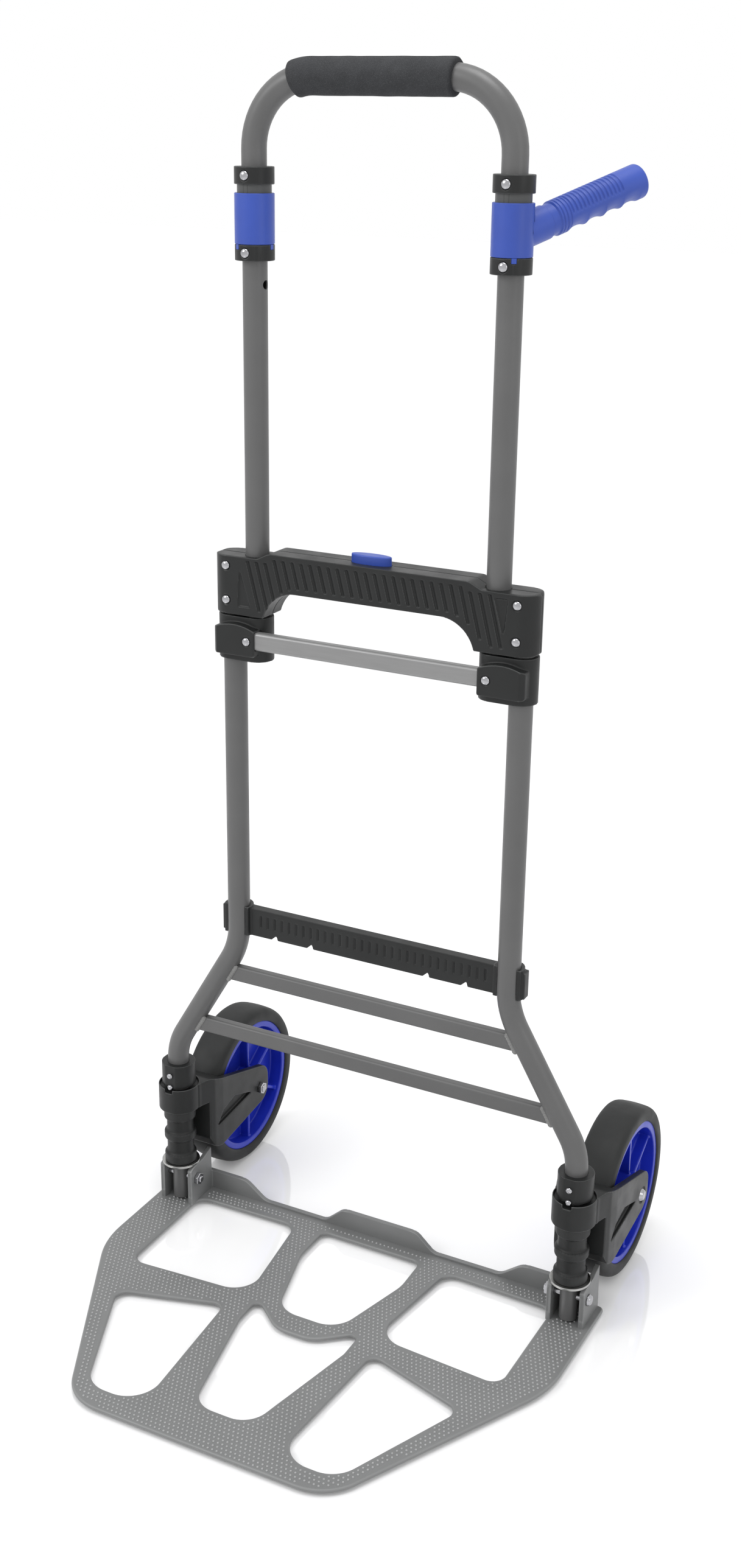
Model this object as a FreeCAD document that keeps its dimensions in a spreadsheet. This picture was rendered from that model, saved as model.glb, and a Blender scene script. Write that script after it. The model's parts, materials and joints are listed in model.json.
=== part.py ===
"""Folding hand truck with a telescoping handle, a folding toe plate and wheels that swing in.

Units are millimetres. +X is to the right seen from the front, +Y to the rear, +Z up. The origin
is on the floor, in the middle of the truck. The frame is symmetric about X = 0, so most pieces
are made by a function that takes side = 1 (right) or side = -1 (left).
"""
import FreeCAD, Part
import math
import os

import Sketcher

Vector = FreeCAD.Vector
Rotation = FreeCAD.Rotation

DIMENSIONS = {
    # steel tubes
    "tube_radius": 11, "tube_bore": 9.5, "running_gap": 0.06, "post_radius": 9,
    # lower frame
    "foot_x": 223, "foot_y": 61, "lower_x": 146, "upper_bend_z": 323.5, "lower_bend_z": 192.1,
    "upper_bend_radius": 80, "lower_bend_radius": 65, "lower_tube_top": 716,
    "bar_height": 17, "bar_depth": 10, "bar_round": 3, "upper_bar_z": 282.5, "lower_bar_z": 215.5,
    # stop strip clipped across the lower tubes
    "strip_z": 337, "strip_height": 29, "strip_thick": 3, "strip_flange": 10.5, "clip_radius": 14.6,
    "notch_inner_x": 63, "notch_outer_x": 103,
    # housing at the top of the lower frame
    "housing_z": 668.5, "housing_end_x": 145, "housing_half_depth": 17, "housing_top": 723.5,
    "beam_top": 729.5, "beam_half": 100, "arch_half": 72, "arch_z": 695, "arch_radius": 35,
    "rivet_x": 145.5, "rivet_upper_z": 713.9, "rivet_lower_z": 681.5,
    "rivet_radius": 4.1, "rivet_dome": 2.7, "shank_radius": 2.4, "shank_length": 5,
    # release button and lock bolts
    "button_x": -3, "button_half_length": 20, "button_half_width": 6.6, "button_top": 737.3,
    "button_foot": 722, "button_gap": 0.4, "button_travel": 4.5,
    "bolt_radius": 3.75, "bolt_z": 714, "bolt_inner_x": 60, "bolt_length": 35, "bolt_clear": 1.5,
    "bolt_hole": 4, "second_hole_z": 964,
    # telescoping handle
    "leg_x": 121, "leg_bottom": 628, "handle_top": 1134, "handle_bend": 58,
    "foam_radius": 15.5, "foam_left": 81, "foam_right": 68,
    "collar_radius": 17.4, "liner_radius": 15, "lower_collar_z": 984.3, "lower_collar_height": 13.4,
    "upper_collar_z": 1047.2, "upper_collar_height": 14.6, "sleeve_gap": 0.3,
    "tab_width": 4.2, "tab_drop": 4.2, "tab_turn": 30,
    # side grip
    "grip_z": 1014, "grip_rise": 18, "grip_turn": 150, "grip_length": 135, "grip_radius": 13,
    "socket_radius": 14, "socket_length": 33.5,
    # sliders at the feet of the handle
    "slider_z": 624, "slider_top": 666.5, "slider_wall": 3.9, "boss_inner_x": 112.5,
    "boss_outer_x": 157, "boss_front": 23, "boss_z": 631, "boss_side_z": 656, "boss_top": 660,
    "link_z": 637.5, "link_height": 17, "link_front": 21, "link_end_x": 128, "slider_rivet_z": 645.5,
    # foot stack
    "foot_collar_radius": 17.5, "foot_collar_z": 146.3, "foot_collar_top": 171.5,
    "hub_radius": 21.5, "hub_z": 117.9, "hub_top": 146, "hub_relief": 20.4, "hub_notch": 4.4,
    "spring_z": 53.5, "spring_top": 117.5, "spring_radius": 16.8, "spring_neck": 14,
    "washer_z": 51, "washer_radius": 20, "post_bottom": 9, "post_top": 172,
    "upper_screw_z": 160, "lower_screw_z": 146.7, "screw_radius": 3.2,
    # toe plate
    "plate_half": 249, "plate_front": 327, "plate_rear": 33, "deck_z": 3, "deck_top": 6.5,
    "rim_low": 2.4, "rim_width": 3, "pad_radius": 8, "front_pad_radius": 6,
    "lip_top": 27, "lip_low": 9, "lip_thick": 3.5, "lip_flange": 5,
    "ear_offset": 14.5, "ear_thick": 5, "ear_front": 11, "ear_rear": 29, "ear_top": 50.4,
    "ear_peak": 56, "pivot_z": 34, "pivot_radius": 3.5, "nut_radius": 6.4, "nut_height": 4.5,
    # wheels
    "wheel_radius": 88, "axle_y": 117, "tyre_half": 20, "rim_radius": 73, "hub_half": 20.2,
    "wheel_hub_radius": 20, "axle_radius": 4, "web_half": 3, "rim_inner": 66,
    "arm_half": 29, "arm_inner": 22, "arm_end_radius": 17, "arm_boss": 20.5,
}

doc = FreeCAD.newDocument("hand_truck")
sheet = doc.addObject("Spreadsheet::Sheet", "d")
for row, (alias, value) in enumerate(DIMENSIONS.items(), start=1):
    sheet.set(f"A{row}", alias)
    sheet.set(f"B{row}", str(value))
    sheet.setAlias(f"B{row}", alias)
doc.recompute()

nodes = []


def size(formula):
    """The number that a formula in the sheet's names comes to."""
    return float(sheet.evalExpression(str(formula)))


def keep(piece, label):
    """Name a finished sub-part and keep it for writing."""
    piece.Label = label
    nodes.append(piece)
    return piece


# ---------------------------------------------------------------- bound primitives and booleans
TURNS = {
    "+Z": Rotation(),
    "+X": Rotation(Vector(0, 1, 0), 90),
    "-X": Rotation(Vector(0, 1, 0), -90),
    "+Y": Rotation(Vector(1, 0, 0), -90),
    "-Y": Rotation(Vector(1, 0, 0), 90),
}


def put(piece, at, along="+Z"):
    """Turn a piece and bind its position to formulas."""
    piece.Placement = FreeCAD.Placement(Vector(0, 0, 0), TURNS[along])
    for letter, formula in zip("xyz", at):
        piece.setExpression(f"Placement.Base.{letter}", str(formula))
    return piece


def primitive(kind, at, along="+Z", **sizes):
    """A Part primitive whose sizes are formulas."""
    piece = doc.addObject(f"Part::{kind}", kind)
    for name, formula in sizes.items():
        piece.setExpression(name, str(formula))
    return put(piece, at, along)


def rod(radius, height, at, along="+Z"):
    return primitive("Cylinder", at, along, Radius=radius, Height=height)


def block(length, width, height, at):
    return primitive("Box", at, Length=length, Width=width, Height=height)


def fuse(*pieces):
    joined = doc.addObject("Part::MultiFuse", "Fuse")
    joined.Shapes = list(pieces)
    return joined


def common(*pieces):
    shared = doc.addObject("Part::MultiCommon", "Common")
    shared.Shapes = list(pieces)
    return shared


def cut(base, *tools):
    result = doc.addObject("Part::Cut", "Cut")
    result.Base = base
    result.Tool = tools[0] if len(tools) == 1 else fuse(*tools)
    return result


def feature(shape):
    """A shape that no primitive or sketch gives, as a document object."""
    piece = doc.addObject("Part::Feature", "Shape")
    piece.Shape = shape
    return piece


# ---------------------------------------------------------------- sketched bodies
def plane_of(body, role):
    return next(item for item in body.Origin.OriginFeatures if item.Role == role)


def new_sketch(body, role):
    sketch = body.newObject("Sketcher::SketchObject", "Sketch")
    sketch.AttachmentSupport = (plane_of(body, role), [""])
    sketch.MapMode = "FlatFace"
    return sketch


def bind_constraint(sketch, constraint, name, formula):
    index = sketch.addConstraint(constraint)
    sketch.renameConstraint(index, name)
    sketch.setExpression(f"Constraints.{name}", str(formula))


def ring_body(outer, inner, height, at, along="+Z"):
    """A straight ring: two bound circles, padded."""
    body = doc.addObject("PartDesign::Body", "Ring")
    sketch = new_sketch(body, "XY_Plane")
    for name, formula in (("outer", outer), ("inner", inner)):
        circle = sketch.addGeometry(Part.Circle(Vector(), Vector(0, 0, 1), size(formula)), False)
        sketch.addConstraint(Sketcher.Constraint("Coincident", circle, 3, -1, 1))
        bind_constraint(sketch, Sketcher.Constraint("Radius", circle, size(formula)), name, formula)
    pad = body.newObject("PartDesign::Pad", "Pad")
    pad.Profile = sketch
    pad.setExpression("Length", str(height))
    return put(body, at, along)


def turned_body(profile, at, along="+Z"):
    """A solid of revolution. profile lists (radius, height) formulas in order."""
    body = doc.addObject("PartDesign::Body", "Turned")
    sketch = new_sketch(body, "XZ_Plane")
    points = [Vector(size(radius), size(height), 0) for radius, height in profile]
    for start, end in zip(points, points[1:] + points[:1]):
        sketch.addGeometry(Part.LineSegment(start, end), False)
    count = len(points)
    for index, (radius, height) in enumerate(profile):
        sketch.addConstraint(Sketcher.Constraint("Coincident", index, 1, (index - 1) % count, 2))
        across = Sketcher.Constraint("DistanceX", -1, 1, index, 1, size(radius))
        bind_constraint(sketch, across, f"radius_{index}", radius)
        up = Sketcher.Constraint("DistanceY", -1, 1, index, 1, size(height))
        bind_constraint(sketch, up, f"height_{index}", height)
    turn = body.newObject("PartDesign::Revolution", "Revolution")
    turn.Profile = sketch
    turn.ReferenceAxis = (sketch, ["V_Axis"])
    turn.Angle = 360
    return put(body, at, along)


# ---------------------------------------------------------------- outlines and sweeps
AXES = {"XY": (0, 1), "XZ": (0, 2), "YZ": (1, 2)}


def on_plane(plane, across, up):
    place = [0, 0, 0]
    place[AXES[plane][0]], place[AXES[plane][1]] = across, up
    return Vector(*place)


def corner_arc(before, corner, after, radius):
    """Start, middle and end of the arc that rounds one corner."""
    inward = (before - corner).normalize()
    outward = (after - corner).normalize()
    half = inward.getAngle(outward) / 2
    run = radius / math.tan(half)
    middle = corner + (inward + outward).normalize() * (radius / math.sin(half) - radius)
    return corner + inward * run, middle, corner + outward * run


def rounded_face(plane, corners):
    """A flat face inside corners (across, up, radius); a radius of 0 leaves the corner sharp."""
    points = [on_plane(plane, across, up) for across, up, _ in corners]
    arcs = []
    for index, (_, _, radius) in enumerate(corners):
        after = points[(index + 1) % len(points)]
        here = points[index]
        rounded = corner_arc(points[index - 1], here, after, radius) if radius else (here, None, here)
        arcs.append(rounded)
    edges = []
    for (start, middle, end), following in zip(arcs, arcs[1:] + arcs[:1]):
        if middle:
            edges.append(Part.Arc(start, middle, end).toShape())
        if (following[0] - end).Length > 1e-6:
            edges.append(Part.LineSegment(end, following[0]).toShape())
    return Part.Face(Part.Wire(Part.__sortEdges__(edges)))


def bent_wire(points, radii):
    """A route of straight runs joined by tangent arcs."""
    edges, start = [], points[0]
    for before, corner, after, radius in zip(points, points[1:], points[2:], radii):
        first, middle, last = corner_arc(before, corner, after, radius)
        edges.append(Part.LineSegment(start, first).toShape())
        edges.append(Part.Arc(first, middle, last).toShape())
        start = last
    edges.append(Part.LineSegment(start, points[-1]).toShape())
    return Part.Wire(edges)


def swept_rod(wire, radius):
    first = wire.Edges[0]
    ring = Part.Circle(first.valueAt(first.FirstParameter), first.tangentAt(first.FirstParameter), radius)
    return wire.makePipeShell([Part.Wire(ring.toShape())], True, True)


def prism(plane, corners, start, end):
    """A rounded outline extruded along the plane's normal from start to end."""
    normal = Vector(*[0 if axis in AXES[plane] else 1 for axis in range(3)])
    solid = rounded_face(plane, corners).extrude(normal * (end - start))
    solid.translate(normal * start)
    return solid


def mirrored(corners, side):
    """The same outline on the right (side 1) or the left (side -1), kept in one turning sense."""
    if side > 0:
        return corners
    return [(-across, up, radius) for across, up, radius in reversed(corners)]


# ---------------------------------------------------------------- fasteners
DOME_RADIUS = "(d.rivet_radius ^ 2 + d.rivet_dome ^ 2) / (2 * d.rivet_dome)"
DOME_EDGE = f"asin(({DOME_RADIUS} - d.rivet_dome) / ({DOME_RADIUS}))"


def dome(at_x, face_y, at_z):
    """A domed rivet head with its shank, facing the front. face_y is the flat it sits on."""
    centre_y = f"{face_y} + {DOME_RADIUS} - d.rivet_dome"
    head = primitive("Sphere", (at_x, centre_y, at_z), "-Y", Radius=DOME_RADIUS, Angle1=DOME_EDGE)
    shank = rod("d.shank_radius", "d.shank_length", (at_x, face_y, at_z), "+Y")
    return fuse(head, shank)


def rivet_seat(at_x, face_y, at_z):
    """The recess and hole that take one rivet."""
    recess = rod("d.rivet_radius + 0.5", 3, (at_x, face_y, at_z), "-Y")
    hole = rod("d.shank_radius", "d.shank_length", (at_x, face_y, at_z), "+Y")
    return fuse(recess, hole)


# ---------------------------------------------------------------- lower frame
def lower_route(side):
    points = [Vector(side * size("d.lower_x"), size("d.foot_y"), size("d.lower_tube_top")),
              Vector(side * size("d.lower_x"), size("d.foot_y"), size("d.upper_bend_z")),
              Vector(side * size("d.foot_x"), size("d.foot_y"), size("d.lower_bend_z")),
              Vector(side * size("d.foot_x"), size("d.foot_y"), size("d.hub_z"))]
    return bent_wire(points, (size("d.upper_bend_radius"), size("d.lower_bend_radius")))


def lower_tube(side):
    route = lower_route(side)
    return feature(swept_rod(route, size("d.tube_radius")).cut(swept_rod(route, size("d.tube_bore"))))


def crossbar(bottom):
    """A flat-oval bar between the slanting parts of the two lower tubes, trimmed to their walls."""
    low, high = size(bottom), size(f"{bottom} + d.bar_height")
    near, far = size("d.foot_y - d.bar_depth / 2"), size("d.foot_y + d.bar_depth / 2")
    edge = size("d.bar_round")
    section = [(near, low, edge), (far, low, edge), (far, high, edge), (near, high, edge)]
    reach = size("d.foot_x")
    bar = prism("YZ", section, -reach, reach)
    for side in (-1, 1):
        bar = bar.cut(swept_rod(lower_route(side), size("d.tube_radius")))
    return feature(max(bar.Solids, key=lambda solid: solid.Volume))


def stop_strip():
    """Ribbed strip behind the lower tubes' front, with a clip round each tube and a pull tab."""
    foot_y, low = size("d.foot_y"), size("d.strip_z")
    high = low + size("d.strip_height")
    end_x = size("d.lower_x - d.tube_radius") - 0.5
    corners = [(-end_x, low, 0)]
    for centre in ("-d.notch_outer_x", "-d.notch_inner_x", "d.notch_inner_x", "d.notch_outer_x"):
        middle = size(centre)
        corners += [(middle - 5, low, 0), (middle + 0.5, low + 5, 0), (middle + 2, low, 0)]
    corners += [(end_x, low, 0), (end_x, high, 0), (-end_x, high, 0)]
    front = foot_y - 2
    strip = prism("XZ", corners, front, front + size("d.strip_thick"))
    flange = Part.makeBox(2 * end_x, size("d.strip_flange"), 2.5, Vector(-end_x, front, high - 2.5))
    strip = strip.fuse(flange)
    for side in (-1, 1):
        centre = Vector(side * size("d.lower_x"), foot_y, low)
        clip = Part.makeCylinder(size("d.clip_radius"), high - low + 2, centre)
        tab = Part.makeBox(4, 10, high - low - 2, Vector(-2, -5, 1))
        tab.translate(centre + Vector(side * (size("d.clip_radius") + 0.5), 2, 0))
        mouth = Part.makeBox(40, 20, 60, Vector(-20, -26, -10))
        mouth.translate(centre)
        bore = swept_rod(lower_route(side), size("d.tube_radius") + 0.02)
        strip = strip.fuse(clip.fuse(tab).cut(mouth)).cut(bore)
    return feature(strip.removeSplitter())


def foot_post(side):
    """Solid spigot in the tube's foot, drilled across for the toe plate's pivot bolt."""
    foot = (f"{side} * d.foot_x", "d.foot_y", "d.post_bottom")
    post = rod("d.post_radius", "d.post_top - d.post_bottom", foot)
    bore = rod("d.pivot_radius + 0.05", "4 * d.post_radius",
               (f"{side} * d.foot_x - 2 * d.post_radius", "d.foot_y", "d.pivot_z"), "+X")
    return cut(post, bore)


def foot_collar(side):
    """Collar under the bend, with a flat band at the front for two screws."""
    centre = (f"{side} * d.foot_x", "d.foot_y", "d.foot_collar_z")
    collar = ring_body("d.foot_collar_radius", "d.tube_radius", "d.foot_collar_top - d.foot_collar_z", centre)
    band = (f"{side} * d.foot_x - 6", "d.foot_y - d.foot_collar_radius - 3", "d.foot_collar_z - 1")
    flat = block(12, 4, 40, band)
    cuts = [flat]
    for height in ("d.upper_screw_z", "d.lower_screw_z"):
        cuts.append(rod(1.6, 6, (f"{side} * d.foot_x", "d.foot_y - d.foot_collar_radius", height), "+Y"))
    return cut(collar, *cuts)


def collar_screws():
    """Pan-head screws in the two foot collars."""
    pieces = []
    for side in (-1, 1):
        for height in ("d.upper_screw_z", "d.lower_screw_z"):
            face = "d.foot_y - d.foot_collar_radius + 1"
            head = rod("d.screw_radius", 2.2, (f"{side} * d.foot_x", face, height), "-Y")
            stem = rod(1.6, 4.5, (f"{side} * d.foot_x", face, height), "+Y")
            slot = block(4.4, 1, 1, (f"{side} * d.foot_x - 2.2", f"{face} - 2.5", f"{height} - 0.5"))
            pieces.append(cut(fuse(head, stem), slot))
    return fuse(*pieces)


def spring_sleeve(side):
    """Ringed elastic sleeve that presses the washer down on the toe plate's ears."""
    ring, neck, bore = "d.spring_radius", "d.spring_neck", "d.post_radius + 0.05"
    steps = [(ring, 0), (ring, 10), (neck, 12), (neck, 26), (ring, 28), (ring, 35.5), (neck, 37.5),
             (neck, 50), (ring, 52), (ring, "d.spring_top - d.spring_z")]
    profile = [(bore, 0)] + steps + [(bore, "d.spring_top - d.spring_z")]
    return turned_body(profile, (f"{side} * d.foot_x", "d.foot_y", "d.spring_z"))


def foot_washer(side):
    return ring_body("d.washer_radius", "d.post_radius + 0.05", "d.spring_z - d.washer_z",
                     (f"{side} * d.foot_x", "d.foot_y", "d.washer_z"))


# ---------------------------------------------------------------- housing, button and lock bolts
def housing_blank():
    """Outer form: a beam with an arched hand opening, between two round-ended blocks."""
    end_x, depth = size("d.housing_end_x"), size("d.housing_half_depth")
    low, high, beam = size("d.housing_z"), size("d.housing_top"), size("d.beam_top")
    reach, half, arch_x = end_x + depth, size("d.beam_half"), size("d.arch_half")
    arch_z, arch_r = size("d.arch_z"), size("d.arch_radius")
    right = [(reach, low, 3), (reach, high, 4), (half + 12, high, 8), (half, beam, 8)]
    left = [(-across, up, radius) for across, up, radius in reversed(right)]
    front = prism("XZ", right + left, size("d.foot_y") - depth, size("d.foot_y") + depth)
    arch = [(arch_x + arch_r, low - 1, 0), (arch_x + arch_r, arch_z, arch_r),
            (-arch_x - arch_r, arch_z, arch_r), (-arch_x - arch_r, low - 1, 0)]
    front = front.cut(prism("XZ", arch, size("d.foot_y") - 2 * depth, size("d.foot_y") + 2 * depth))
    foot_y = size("d.foot_y")
    plan = [(reach, foot_y - depth, depth - 0.01), (reach, foot_y + depth, depth - 0.01),
            (-reach, foot_y + depth, depth - 0.01), (-reach, foot_y - depth, depth - 0.01)]
    return front.common(prism("XY", plan, low - 5, beam + 5)).removeSplitter()


def housing_shell(front):
    """One of the two shells, which meet in the plane of the tubes."""
    blank = feature(housing_blank())
    wide, tall = "2 * d.housing_end_x + 60", 100
    start = "d.foot_y - 40" if front else "d.foot_y + 0.05"
    half = block(wide, 39.95, tall, ("-d.housing_end_x - 30", start, "d.housing_z - 5"))
    cuts = [block("2 * (d.leg_x - d.tube_radius - 22)", 22, 24,
                  ("-d.leg_x + d.tube_radius + 22", "d.foot_y - 11", "d.arch_z + 3"))]
    for side in (-1, 1):
        leg_foot = (f"{side} * d.leg_x", "d.foot_y", "d.housing_z - 5")
        tube_foot = (f"{side} * d.lower_x", "d.foot_y", "d.housing_z - 5")
        cuts.append(rod("d.tube_radius + d.running_gap", 100, leg_foot))
        cuts.append(rod("d.tube_radius", "d.lower_tube_top - d.housing_z + 5", tube_foot))
        guide = ("d.bolt_inner_x" if side > 0 else "-d.leg_x", "d.foot_y", "d.bolt_z")
        cuts.append(rod("d.bolt_radius + 0.06", "d.leg_x - d.bolt_inner_x", guide, "+X"))
        if front:
            cuts += [rivet_seat(f"{side} * d.rivet_x", "d.foot_y - d.housing_half_depth + 1", height)
                     for height in ("d.rivet_upper_z", "d.rivet_lower_z")]
    cuts.append(button_form("d.button_gap", "d.arch_z + 5", "d.beam_top + 5"))
    return cut(common(blank, half), *cuts)


def button_form(gap, low, high):
    """Oval column of the button, grown by gap for the hole it runs in."""
    column = doc.addObject("Part::Ellipse", "Ellipse")
    column.setExpression("MajorRadius", f"d.button_half_length + {gap}")
    column.setExpression("MinorRadius", f"d.button_half_width + {gap}")
    put(column, ("d.button_x", "d.foot_y", low))
    raised = doc.addObject("Part::Extrusion", "Extrusion")
    raised.Base = column
    raised.DirMode = "Custom"
    raised.Dir = Vector(0, 0, 1)
    raised.Solid = True
    raised.setExpression("LengthFwd", f"{high} - ({low})")
    return raised


def lock_bolt(side):
    """Plain pin that locks one leg of the handle; it stands just clear of the leg."""
    tip = "(d.leg_x - d.tube_radius - d.bolt_clear)"
    start = f"{tip} - d.bolt_length" if side > 0 else f"-{tip}"
    return rod("d.bolt_radius", "d.bolt_length", (start, "d.foot_y", "d.bolt_z"), "+X")


def housing_rivets():
    return fuse(*[dome(f"{side} * d.rivet_x", "d.foot_y - d.housing_half_depth + 1", height)
                  for side in (-1, 1) for height in ("d.rivet_upper_z", "d.rivet_lower_z")])


# ---------------------------------------------------------------- telescoping handle
def handle_route():
    leg_x, foot_y, top = size("d.leg_x"), size("d.foot_y"), size("d.handle_top")
    corners = [(-leg_x, size("d.leg_bottom")), (-leg_x, top), (leg_x, top), (leg_x, size("d.leg_bottom"))]
    return bent_wire([Vector(x, foot_y, z) for x, z in corners], [size("d.handle_bend")] * 2)


def handle_tube():
    """Bent tube with two lock holes on the inner side of each leg."""
    route = handle_route()
    tube = swept_rod(route, size("d.tube_radius")).cut(swept_rod(route, size("d.tube_bore")))
    for side in (-1, 1):
        for height in ("d.bolt_z", "d.second_hole_z"):
            start = Vector(side * size("d.leg_x - d.tube_radius - 1"), size("d.foot_y"), size(height))
            tube = tube.cut(Part.makeCylinder(size("d.bolt_hole"), 6, start, Vector(side, 0, 0)))
    return feature(tube)


def foam_grip():
    """Foam tube on the handle's top, pushed a little way into the left bend."""
    bend, straight = size("d.handle_bend"), size("d.leg_x - d.handle_bend")
    centre_z, foot_y = size("d.handle_top - d.handle_bend"), size("d.foot_y")

    def bend_point(side, reach):
        angle = math.asin((reach - straight) / bend)
        return Vector(side * reach, foot_y, centre_z + bend * math.cos(angle))

    def bend_edge(side, reach):
        middle = bend_point(side, (reach + straight) / 2)
        start, end = bend_point(side, reach), Vector(side * straight, foot_y, centre_z + bend)
        return (start, middle, end) if side < 0 else (end, middle, start)

    left = bend_edge(-1, size("d.foam_left"))
    right = bend_edge(1, size("d.foam_right"))
    route = Part.Wire([Part.Arc(*left).toShape(), Part.LineSegment(left[2], right[0]).toShape(),
                       Part.Arc(*right).toShape()])
    return feature(swept_rod(route, size("d.foam_radius")).cut(swept_rod(route, size("d.tube_radius"))))


COLLARS = (("d.lower_collar_z", "d.lower_collar_height"), ("d.upper_collar_z", "d.upper_collar_height"))
SLEEVE_Z = "d.lower_collar_z + d.lower_collar_height + d.sleeve_gap"
SLEEVE_HEIGHT = f"d.upper_collar_z - d.sleeve_gap - 7 - ({SLEEVE_Z}) + d.sleeve_gap"


def leg_ring(side, outer, inner, bottom, height):
    return ring_body(outer, inner, height, (f"{side} * d.leg_x", "d.foot_y", bottom))


def tab_blocks(side, grow):
    """Three tabs (or, grown, the notches for them) spread round one leg."""
    pieces = []
    for third in range(3):
        turn = math.radians(side * (size("d.tab_turn") + 120 * third))
        width, drop = size("d.tab_width") + 2 * grow, size("d.tab_drop") + grow
        inner, outer = size("d.liner_radius") + 0.06, size("d.collar_radius") + 4 * grow
        tab = Part.makeBox(width, outer - inner, drop, Vector(-width / 2, -outer, -drop))
        tab.rotate(Vector(), Vector(0, 0, 1), math.degrees(turn))
        tab.translate(Vector(side * size("d.leg_x"), size("d.foot_y"), size(SLEEVE_Z)))
        pieces.append(tab)
    return Part.makeCompound(pieces)


def leg_collar(side, bottom, height, notched):
    """Black collar riveted to one leg; the lower one has notches in its top edge."""
    collar = leg_ring(side, "d.collar_radius", "d.liner_radius", bottom, height)
    cuts = [rivet_seat(f"{side} * d.leg_x", "d.foot_y - d.collar_radius + 1", f"{bottom} + {height} / 2")]
    if notched:
        cuts.append(feature(tab_blocks(side, 0.25)))
    return cut(collar, *cuts)


def liner(side):
    """Bush under the collars and the sleeve, on the leg."""
    bush = leg_ring(side, "d.liner_radius", "d.tube_radius", "d.lower_collar_z",
                    "d.upper_collar_z + d.upper_collar_height - d.lower_collar_z")
    cuts = [rod("d.shank_radius", "d.shank_length",
                (f"{side} * d.leg_x", "d.foot_y - d.collar_radius + 1", f"{bottom} + {height} / 2"), "+Y")
            for bottom, height in COLLARS]
    return cut(bush, *cuts)


def collar_rivets():
    return fuse(*[dome(f"{side} * d.leg_x", "d.foot_y - d.collar_radius + 1", f"{bottom} + {height} / 2")
                  for side in (-1, 1) for bottom, height in COLLARS])


def leg_sleeve(side):
    return leg_ring(side, "d.collar_radius", "d.liner_radius + 0.06", SLEEVE_Z, SLEEVE_HEIGHT)


def grip_frame():
    """Placement that carries +Z to the side grip's axis."""
    turn, rise = math.radians(size("d.grip_turn")), math.radians(size("d.grip_rise"))
    along = Vector(math.cos(rise) * math.sin(turn), -math.cos(rise) * math.cos(turn), math.sin(rise))
    start = Vector(size("d.leg_x"), size("d.foot_y"), size("d.grip_z"))
    return FreeCAD.Placement(start, Rotation(Vector(0, 0, 1), along))


def grip_sleeve():
    """Right sleeve with the socket that holds the side grip."""
    socket = feature(Part.makeCylinder(size("d.socket_radius"), size("d.socket_length")))
    socket.Placement = grip_frame()
    core = rod("d.liner_radius + 0.06", 100, ("d.leg_x", "d.foot_y", "d.grip_z - 50"))
    spigot = feature(Part.makeCylinder(size("d.grip_radius") - 3, 60, Vector(0, 0, 18.5)))
    spigot.Placement = grip_frame()
    return cut(fuse(leg_sleeve(1), socket), core, spigot)


def side_grip():
    """Turned grip with ribs on its upper half and finger scallops below."""
    radius, length, socket = size("d.grip_radius"), size("d.grip_length"), size("d.socket_length")
    profile = [(0, 19), (radius - 3.05, 19), (radius - 3.05, socket + 0.05), (radius, socket + 0.05)]
    for ring in range(3):
        height = socket + 11 + 4 * ring
        profile += [(radius, height), (radius - 1, height + 0.6)]
        profile += [(radius - 1, height + 1.6), (radius, height + 2.2)]
    profile += [(radius, length - 5), (radius - 2, length - 1.5), (radius - 6, length), (0, length)]
    grip = Part.Face(Part.makePolygon([Vector(x, 0, z) for x, z in profile + profile[:1]]))
    grip = grip.revolve(Vector(), Vector(0, 0, 1), 360)
    for finger in range(4):
        hollow = Part.makeTorus(radius + 9, 10.5, Vector(), Vector(0, 0, 1), -180, 180, 120)
        hollow.rotate(Vector(), Vector(0, 0, 1), 210)
        hollow.translate(Vector(0, 0, socket + 30 + 19 * finger))
        grip = grip.cut(hollow)
    piece = feature(grip)
    piece.Placement = grip_frame()
    return piece


def slider(side):
    """Block that holds a handle leg and runs on the lower tube, with a boss for the link bar."""
    foot_y, low, high = size("d.foot_y"), size("d.slider_z"), size("d.slider_top")
    wall = size("d.tube_radius + d.slider_wall")
    inner, outer = size("d.leg_x") - wall, size("d.lower_x") + wall
    plan = [(inner, foot_y - wall, wall - 0.01), (outer, foot_y - wall, wall - 0.01),
            (outer, foot_y + wall, wall - 0.01), (inner, foot_y + wall, wall - 0.01)]
    solid = prism("XY", plan, low, high)
    boss_in, boss_out, front = size("d.boss_inner_x"), size("d.boss_outer_x"), foot_y - size("d.boss_front")
    boss_plan = [(boss_in, front, 1.5), (boss_out - 4, front, 1), (boss_out, front + 4, 2),
                 (boss_out, foot_y - 6, 0), (boss_in, foot_y - 6, 0)]
    middle = (boss_in + boss_out) / 2
    boss_front = [(boss_in, size("d.boss_z"), 2), (boss_out, size("d.boss_z"), 2),
                  (boss_out, size("d.boss_side_z"), 2),
                  (middle, size("2 * d.boss_top - d.boss_side_z"), 50),
                  (boss_in, size("d.boss_side_z"), 2)]
    boss = prism("XY", boss_plan, low, high).common(prism("XZ", boss_front, front - 5, foot_y))
    solid = solid.fuse(boss).removeSplitter()
    if side < 0:
        solid = solid.mirror(Vector(), Vector(1, 0, 0))
    cuts = [rod("d.tube_radius + d.running_gap", 100, (f"{side} * d.lower_x", "d.foot_y", "d.slider_z - 10")),
            rod("d.tube_radius", 100, (f"{side} * d.leg_x", "d.foot_y", "d.leg_bottom")),
            block("2 * d.link_end_x", "d.bar_depth", "d.link_height",
                  ("-d.link_end_x", "d.foot_y - d.link_front", "d.link_z")),
            rivet_seat(f"{side} * d.leg_x", "d.foot_y - d.boss_front + 1", "d.slider_rivet_z")]
    return cut(feature(solid), *cuts)


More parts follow.
